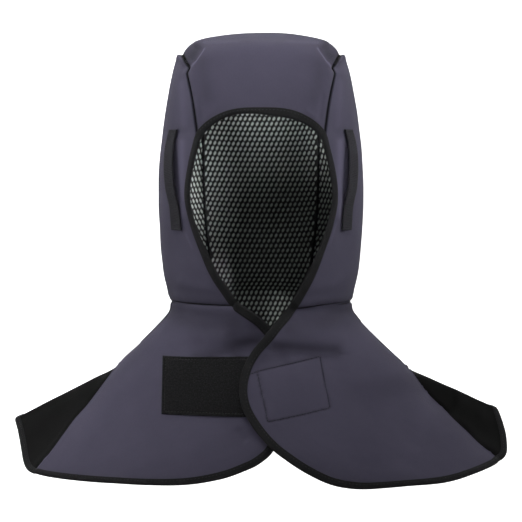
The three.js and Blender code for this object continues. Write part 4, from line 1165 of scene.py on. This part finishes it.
class Look:
    def __init__(self, name, rough, sheen=0.0, sheen_rough=0.5, sheen_tint=(1, 1, 1, 1), specular=0.3):
        self.mat = bpy.data.materials.new(name)
        self.mat.use_nodes = True
        self.tree = self.mat.node_tree
        self.tree.nodes.clear()
        out = self.tree.nodes.new("ShaderNodeOutputMaterial")
        self.bsdf = self.tree.nodes.new("ShaderNodeBsdfPrincipled")
        self.link(self.bsdf.outputs["BSDF"], out.inputs["Surface"])
        self.bsdf.inputs["Roughness"].default_value = rough
        self.bsdf.inputs["Sheen Weight"].default_value = sheen
        self.bsdf.inputs["Sheen Roughness"].default_value = sheen_rough
        self.bsdf.inputs["Sheen Tint"].default_value = sheen_tint
        self.bsdf.inputs["Specular IOR Level"].default_value = specular
        uv = self.node("UVMap", uv_map="weave")
        self.uv = uv.outputs["UV"]
        self.rough = rough

    def node(self, kind, **settings):
        n = self.tree.nodes.new("ShaderNode" + kind)
        for k, v in settings.items():
            setattr(n, k, v)
        return n

    def link(self, a, b):
        self.tree.links.new(a, b)

    def noise(self, scale, detail=2.0, rough=0.5, stretch=(1, 1, 1)):
        m = self.node("Mapping")
        m.inputs["Scale"].default_value = stretch
        self.link(self.uv, m.inputs["Vector"])
        n = self.node("TexNoise")
        n.inputs["Scale"].default_value = scale
        n.inputs["Detail"].default_value = detail
        n.inputs["Roughness"].default_value = rough
        self.link(m.outputs["Vector"], n.inputs["Vector"])
        return n.outputs["Fac"]

    def wave(self, pitch_cm, turn=0.0, shape="SIN", distort=0.0):
        m = self.node("Mapping")
        m.inputs["Rotation"].default_value = (0, 0, turn)
        self.link(self.uv, m.inputs["Vector"])
        n = self.node("TexWave", wave_type="BANDS", bands_direction="X", wave_profile=shape)
        n.inputs["Scale"].default_value = 2 * math.pi / (20 * pitch_cm)
        n.inputs["Distortion"].default_value = distort
        n.inputs["Detail"].default_value = 1.0
        self.link(m.outputs["Vector"], n.inputs["Vector"])
        return n.outputs["Fac"]

    def math(self, kind, a, b):
        n = self.node("Math", operation=kind)
        for i, v in enumerate((a, b)):
            if isinstance(v, (int, float)):
                n.inputs[i].default_value = v
            else:
                self.link(v, n.inputs[i])
        return n.outputs[0]

    def ramp(self, fac, stops):
        n = self.node("ValToRGB")
        e = n.color_ramp.elements
        while len(e) < len(stops):
            e.new(0.5)
        for i, (at, colour) in enumerate(stops):
            e[i].position = at
            e[i].color = colour
        self.link(fac, n.inputs["Fac"])
        return n.outputs["Color"]

    def seam(self):
        # reads the painted shading held in the 'seam' attribute
        n = self.node("Attribute", attribute_name="seam")
        return n.outputs["Fac"]

    def mix(self, fac, a, b, blend="MIX"):
        n = self.node("Mix", data_type="RGBA", blend_type=blend)
        for socket, v in ((n.inputs[0], fac), (n.inputs[6], a), (n.inputs[7], b)):
            if isinstance(v, (int, float, tuple)):
                socket.default_value = v
            else:
                self.link(v, socket)
        return n.outputs[2]

    def colour(self, socket):
        self.link(socket, self.bsdf.inputs["Base Color"])

    def roughness(self, fac, low, high):
        n = self.node("MapRange")
        n.inputs["To Min"].default_value = low
        n.inputs["To Max"].default_value = high
        self.link(fac, n.inputs["Value"])
        self.link(n.outputs["Result"], self.bsdf.inputs["Roughness"])

    def bump(self, heights):
        normal = None
        for height, strength, distance in heights:
            n = self.node("Bump")
            n.inputs["Strength"].default_value = strength
            n.inputs["Distance"].default_value = distance
            self.link(height, n.inputs["Height"])
            if normal is not None:
                self.link(normal, n.inputs["Normal"])
            normal = n.outputs["Normal"]
        self.link(normal, self.bsdf.inputs["Normal"])


def shade(colour, k):
    return tuple(min(1, c * k) for c in colour[:3]) + (1.0,)


def woven(name, colour, sheen, tint, rough, spread=0.10, painted_seam_shade=1.0, pitch=0.075, weave=0.35):
    """Twill: steep diagonal ribs crossed by the yarns, with clouded colour, painted highlights along creases and
    painted shade in seams and hollows.
    """
    look = Look(name, rough, sheen, 0.45, tint, 0.14)
    clouds = look.noise(0.22, 3.0, 0.55)
    grain = look.noise(7.0, 2.0, 0.6, (1, 0.45, 1))
    both = look.math("ADD", look.math("MULTIPLY", clouds, 0.65), look.math("MULTIPLY", grain, 0.35))
    base = look.ramp(both, [(0.30, shade(colour, 1 - spread)), (0.50, colour), (0.72, shade(colour, 1 + spread))])
    rib = look.wave(pitch, math.radians(63), distort=0.6)
    yarn = look.wave(pitch * 0.62, math.radians(-8), distort=0.5)
    base = look.mix(look.math("MULTIPLY", rib, 0.22), base, shade(colour, 0.72))
    seam = look.seam()
    # painted highlight where the 'seam' attribute is below 0
    base = look.mix(look.math("MAXIMUM", look.math("MULTIPLY", seam, -1.0), 0.0), base, shade(colour, 1.9))
    # painted shade where the 'seam' attribute is above 0
    base = look.mix(look.math("MAXIMUM", look.math("MULTIPLY", seam, painted_seam_shade), 0.0), base, shade(colour, 0.03))
    look.colour(base)
    look.roughness(grain, rough - 0.08, rough + 0.05)
    look.bump([(clouds, 0.12, 0.004), (yarn, weave * 0.6, 0.00018), (rib, weave, 0.00022), (grain, 0.25, 0.00025)])
    return look.mat


def ribbed(name, colour, pitch, turn, rough, sheen, depth=0.0003):
    """Narrow woven tape: cross ribs with single yarns along it."""
    look = Look(name, rough, sheen, 0.4, (0.8, 0.8, 0.85, 1), 0.3)
    ribs = look.wave(pitch, turn, distort=0.25)
    yarn = look.wave(pitch * 0.55, turn + math.pi / 2, distort=0.35)
    clouds = look.noise(0.5, 3.0, 0.6)
    fuzz = look.noise(9.0, 2.0, 0.6)
    base = look.ramp(clouds, [(0.3, shade(colour, 0.75)), (0.7, shade(colour, 1.3))])
    base = look.mix(look.math("MULTIPLY", ribs, 0.35), base, shade(colour, 0.45))
    base = look.mix(look.math("MULTIPLY", fuzz, 0.25), base, shade(colour, 2.2))
    look.colour(base)
    look.roughness(fuzz, rough - 0.1, rough + 0.1)
    look.bump([(clouds, 0.2, 0.002), (yarn, 0.4, depth * 0.6), (ribs, 0.7, depth), (fuzz, 0.3, 0.0003)])
    return look.mat


def pile(name, colour):
    """Loop pile: dense curled fibres with lighter tips."""
    look = Look(name, 0.95, 0.08, 0.5, (0.7, 0.7, 0.75, 1), 0.15)
    curl = look.noise(6.5, 4.0, 0.65)
    tuft = look.noise(16.0, 3.0, 0.6)
    lines = look.wave(0.16, math.pi / 2, distort=1.5)
    both = look.math("ADD", look.math("MULTIPLY", curl, 0.6), look.math("MULTIPLY", tuft, 0.4))
    base = look.ramp(both, [(0.36, shade(colour, 0.35)), (0.5, colour), (0.64, shade(colour, 2.6))])
    look.colour(base)
    look.roughness(tuft, 0.88, 1.0)
    look.bump([(lines, 0.2, 0.0003), (curl, 0.8, 0.0009), (tuft, 0.6, 0.0004)])
    return look.mat


def strand(name, colour, light=1.6):
    look = Look(name, 0.6, 0.1, 0.4, (0.8, 0.8, 0.8, 1), 0.35)
    fibre = look.noise(14.0, 3.0, 0.6, (1, 0.3, 1))
    ply = look.wave(0.05, math.radians(35))
    base = look.ramp(fibre, [(0.3, shade(colour, 0.6)), (0.7, shade(colour, light))])
    look.colour(base)
    look.roughness(fibre, 0.5, 0.75)
    look.bump([(ply, 0.4, 0.0001), (fibre, 0.3, 0.0001)])
    return look.mat


def backing(name, colour):
    """Pale knitted ground behind the net."""
    look = Look(name, 0.85, 0.15, 0.4, (1, 1, 1, 1), 0.25)
    clouds = look.noise(0.3, 3.0, 0.5)
    knit = look.wave(0.07, math.radians(20), distort=1.0)
    fuzz = look.noise(11.0, 2.0, 0.5)
    base = look.ramp(clouds, [(0.3, shade(colour, 0.88)), (0.7, shade(colour, 1.06))])
    base = look.mix(look.math("MULTIPLY", knit, 0.3), base, shade(colour, 0.7))
    look.colour(base)
    look.roughness(fuzz, 0.78, 0.92)
    look.bump([(knit, 0.4, 0.0002), (fuzz, 0.3, 0.0002)])
    return look.mat


GREY = linear(81, 78, 95)
looks = {
    "grey": woven("grey_twill", GREY, 0.04, (0.86, 0.86, 0.84, 1), 0.86),
    "black": woven("black_cloth", linear(17, 17, 17), 0.03, (0.8, 0.8, 0.8, 1), 0.9, 0.22, 0.6),
    "tape": ribbed("black_tape", linear(17, 17, 19), 0.12, 0.0, 0.75, 0.03),
    "webbing": ribbed("black_webbing", linear(26, 25, 32), 0.17, 0.0, 0.7, 0.08, 0.0005),
    "net": strand("net_strands", linear(17, 18, 18)),
    "ground": backing("pale_ground", linear(172, 180, 175)),
    "pile": pile("loop_pile", linear(25, 25, 26)),
    "black_thread": strand("black_thread", linear(17, 17, 18), 1.5),
    "grey_thread": strand("grey_thread", linear(15, 13, 22), 1.3),
}
FINISH = {
    "crown_cloth": ("grey", "grey_cloth"), "side_cloth_R": ("grey", "grey_cloth"), "side_cloth_L": ("grey", "grey_cloth"),
    "drape_cloth_R": ("grey", "grey_cloth"), "drape_cloth_L": ("grey", "grey_cloth"), "drape_cloth_back": ("black", "black_cloth"),
    "lining_ground": ("ground", "net"), "lining_net": ("net", "net"), "edge_binding": ("tape", "tape"),
    "webbing_R": ("webbing", "webbing"), "webbing_L": ("webbing", "webbing"), "pile_patch": ("pile", "pile"),
    "hook_patch_back": ("pile", "pile"), "patch_stitches": ("black_thread", "pile"), "flap_stitches": ("grey_thread", "grey_cloth"),
    "tape_stitches": ("black_thread", "tape"), "webbing_tacks": ("black_thread", "webbing"),
}
for name, (look, slot) in FINISH.items():
    pieces[name].data.materials.append(looks[look])
    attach(pieces[name], "root")

STANDS_FOR = {
    "crown_cloth": "crown_panel", "side_cloth_R": "side_panel_R", "side_cloth_L": "side_panel_L", "drape_cloth_R": "drape_front_R",
    "drape_cloth_L": "drape_front_L", "drape_cloth_back": "drape_back", "lining_net": "hood_lining", "edge_binding": "edge_tape",
    "webbing_R": "strap_loop_R", "webbing_L": "strap_loop_L", "pile_patch": "loop_patch", "hook_patch_back": "hook_patch",
}
for name, node in STANDS_FOR.items():
    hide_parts(node)


# ------------------------------------------------------------------ stage, light and camera
FLOOR_Z, ROOM, COVE, WALL_TOP = -0.95, 4.6, 1.4, 5.5
BACKDROP = (0, 3.9, -0.45)
GLOW = 1.0
WORLD = 0.1
POWER = {
    "brow": 0.0055, "front_high": 0.38, "left_high": 0.11, "right_high": 0.12, "left_side": 5.4, "right_side": 5.4, "left": 2.3, "drape": 0.062, "front": 2.0, "behind": 12.0,
    "inside_top": 0.0140, "inside_left": 0.0345, "inside_right": 0.0115, "inside_strip": 0.0205, "inside_tip": 0.0012, "inside_low": 0.004,
}
# place of each soft light: direction from the object, distance, size, point aimed at and spread of its beam
LIGHTS = {
    "brow": (0, 8, 0.95, 0.06, 0.04, (0, -0.11, -0.062), 8),
    "front_high": (0, 56, 0.95, 0.60, 0.25, (0, -0.09, -0.06), 34),
    "left_high": (-78, 20, 0.95, 0.30, 0.25, (-0.09, -0.04, -0.12), 24),
    "right_high": (78, 20, 0.95, 0.30, 0.25, (0.09, -0.04, -0.12), 24),
    "left_side": (-84, 46, 2.0, 1.0, 1.2, (0, 0, -0.20), 180),
    "right_side": (84, 46, 2.0, 1.0, 1.2, (0, 0, -0.20), 180),
    "left": (-48, 42, 2.0, 1.1, 1.1, (0, 0, -0.25), 180),
    "drape": (-55, 32, 1.1, 0.30, 0.22, (-0.19, -0.05, -0.42), 14),
    "front": (0, 20, 2.3, 1.6, 1.0, (0, 0, -0.25), 180),
    "behind": (180, 55, 2.2, 1.8, 0.8, (0, 0, -0.15), 180),
    "inside_top": (0, 33, 0.10, 0.09, 0.015, (0, 0.113, -0.082), 42),
    "inside_left": (38, 38, 0.113, 0.02, 0.02, (-0.085, 0.08, -0.125), 62),
    "inside_right": (-38, 38, 0.113, 0.02, 0.02, (0.072, 0.093, -0.098), 38),
    "inside_strip": (94.6, 2, 0.125, 0.02, 0.06, (-0.08, 0.068, -0.175), 48),
    "inside_tip": (-36, 33, 0.11, 0.02, 0.02, (0.026, 0.092, -0.306), 24),
    "inside_low": (25, 30, 1.5, 0.02, 0.03, (-0.055, 0.095, -0.265), 1.6),
}


def room_look():
    """Pale paint; the far side of the room glows as a lit backdrop."""
    mat = bpy.data.materials.new("pale_room")
    mat.use_nodes = True
    tree = mat.node_tree
    bsdf = tree.nodes["Principled BSDF"]
    bsdf.inputs["Roughness"].default_value = 0.9
    bsdf.inputs["Emission Color"].default_value = (1, 1, 1, 1)
    place = tree.nodes.new("ShaderNodeTexCoord")
    mist = tree.nodes.new("ShaderNodeTexNoise")
    mist.inputs["Scale"].default_value = 0.7
    tree.links.new(place.outputs["Object"], mist.inputs["Vector"])
    tint = tree.nodes.new("ShaderNodeValToRGB")
    tint.color_ramp.elements[0].color = (0.84, 0.84, 0.84, 1)
    tint.color_ramp.elements[1].color = (0.88, 0.88, 0.88, 1)
    tree.links.new(mist.outputs["Fac"], tint.inputs["Fac"])
    tree.links.new(tint.outputs["Color"], bsdf.inputs["Base Color"])
    far = tree.nodes.new("ShaderNodeVectorMath")
    far.operation = "DISTANCE"
    far.inputs[1].default_value = BACKDROP
    tree.links.new(place.outputs["Object"], far.inputs[0])
    glow = tree.nodes.new("ShaderNodeMapRange")
    glow.interpolation_type = "SMOOTHSTEP"
    glow.inputs["From Min"].default_value = 2.3
    glow.inputs["From Max"].default_value = 1.75
    glow.inputs["To Min"].default_value = 0.0
    glow.inputs["To Max"].default_value = GLOW
    tree.links.new(far.outputs["Value"], glow.inputs["Value"])
    tree.links.new(glow.outputs["Result"], bsdf.inputs["Emission Strength"])
    return mat


profile = [(0.0, FLOOR_Z), (1.0, FLOOR_Z), (ROOM - COVE, FLOOR_Z)]
for i in range(1, 17):
    a = i / 16 * math.pi / 2
    profile.append((ROOM - COVE + COVE * math.sin(a), FLOOR_Z + COVE * (1 - math.cos(a))))
profile.append((ROOM, WALL_TOP))
SPOKES = 96
verts = [(r * math.sin(2 * math.pi * k / SPOKES), r * math.cos(2 * math.pi * k / SPOKES), z) for r, z in profile[1:] for k in range(SPOKES)]
verts.append((0, 0, FLOOR_Z))
faces = []
for i in range(len(profile) - 2):
    for k in range(SPOKES):
        x, y = i * SPOKES + k, i * SPOKES + (k + 1) % SPOKES
        faces.append((x, y, y + SPOKES, x + SPOKES))
faces += [(len(verts) - 1, (k + 1) % SPOKES, k) for k in range(SPOKES)]
me = bpy.data.meshes.new("floor")
me.from_pydata(verts, [], faces)
me.polygons.foreach_set("use_smooth", np.ones(len(me.polygons), bool))
floor = bpy.data.objects.new("floor", me)
bpy.context.scene.collection.objects.link(floor)
floor.data.materials.append(room_look())


def softbox(name):
    azimuth, elevation, distance, width, height, aim, spread = LIGHTS[name]
    a, e = math.radians(azimuth), math.radians(elevation)
    data = bpy.data.lights.new(name + "_light", "AREA")
    data.shape = "RECTANGLE"
    data.size, data.size_y = width, height
    data.energy = POWER[name]
    data.spread = math.radians(spread)
    o = bpy.data.objects.new(name + "_light", data)
    bpy.context.scene.collection.objects.link(o)
    away = Vector((math.sin(a) * math.cos(e), -math.cos(a) * math.cos(e), math.sin(e)))
    o.location = Vector(aim) + away * distance
    o.rotation_euler = (-away).to_track_quat("-Z", "Y").to_euler()
    o.visible_camera = False


for name in LIGHTS:
    if POWER[name] > 0:
        softbox(name)

world = bpy.data.worlds.new("studio")
world.use_nodes = True
world.node_tree.nodes["Background"].inputs["Color"].default_value = (1, 1, 1, 1)
world.node_tree.nodes["Background"].inputs["Strength"].default_value = WORLD
bpy.context.scene.world = world

view = bpy.context.scene.view_settings
view.view_transform = "Standard"
view.look = "None"
view.exposure = 0.0
view.gamma = 1.0

lens = bpy.data.cameras.new("camera")
lens.sensor_width = 36
lens.lens = 36 * FOCUS / 522
lens.clip_start, lens.clip_end = 0.05, 60
camera = bpy.data.objects.new("camera", lens)
camera.location = CAMERA * MM
camera.rotation_euler = (math.radians(90) - TILT, 0, 0)
bpy.context.scene.collection.objects.link(camera)
bpy.context.scene.camera = camera
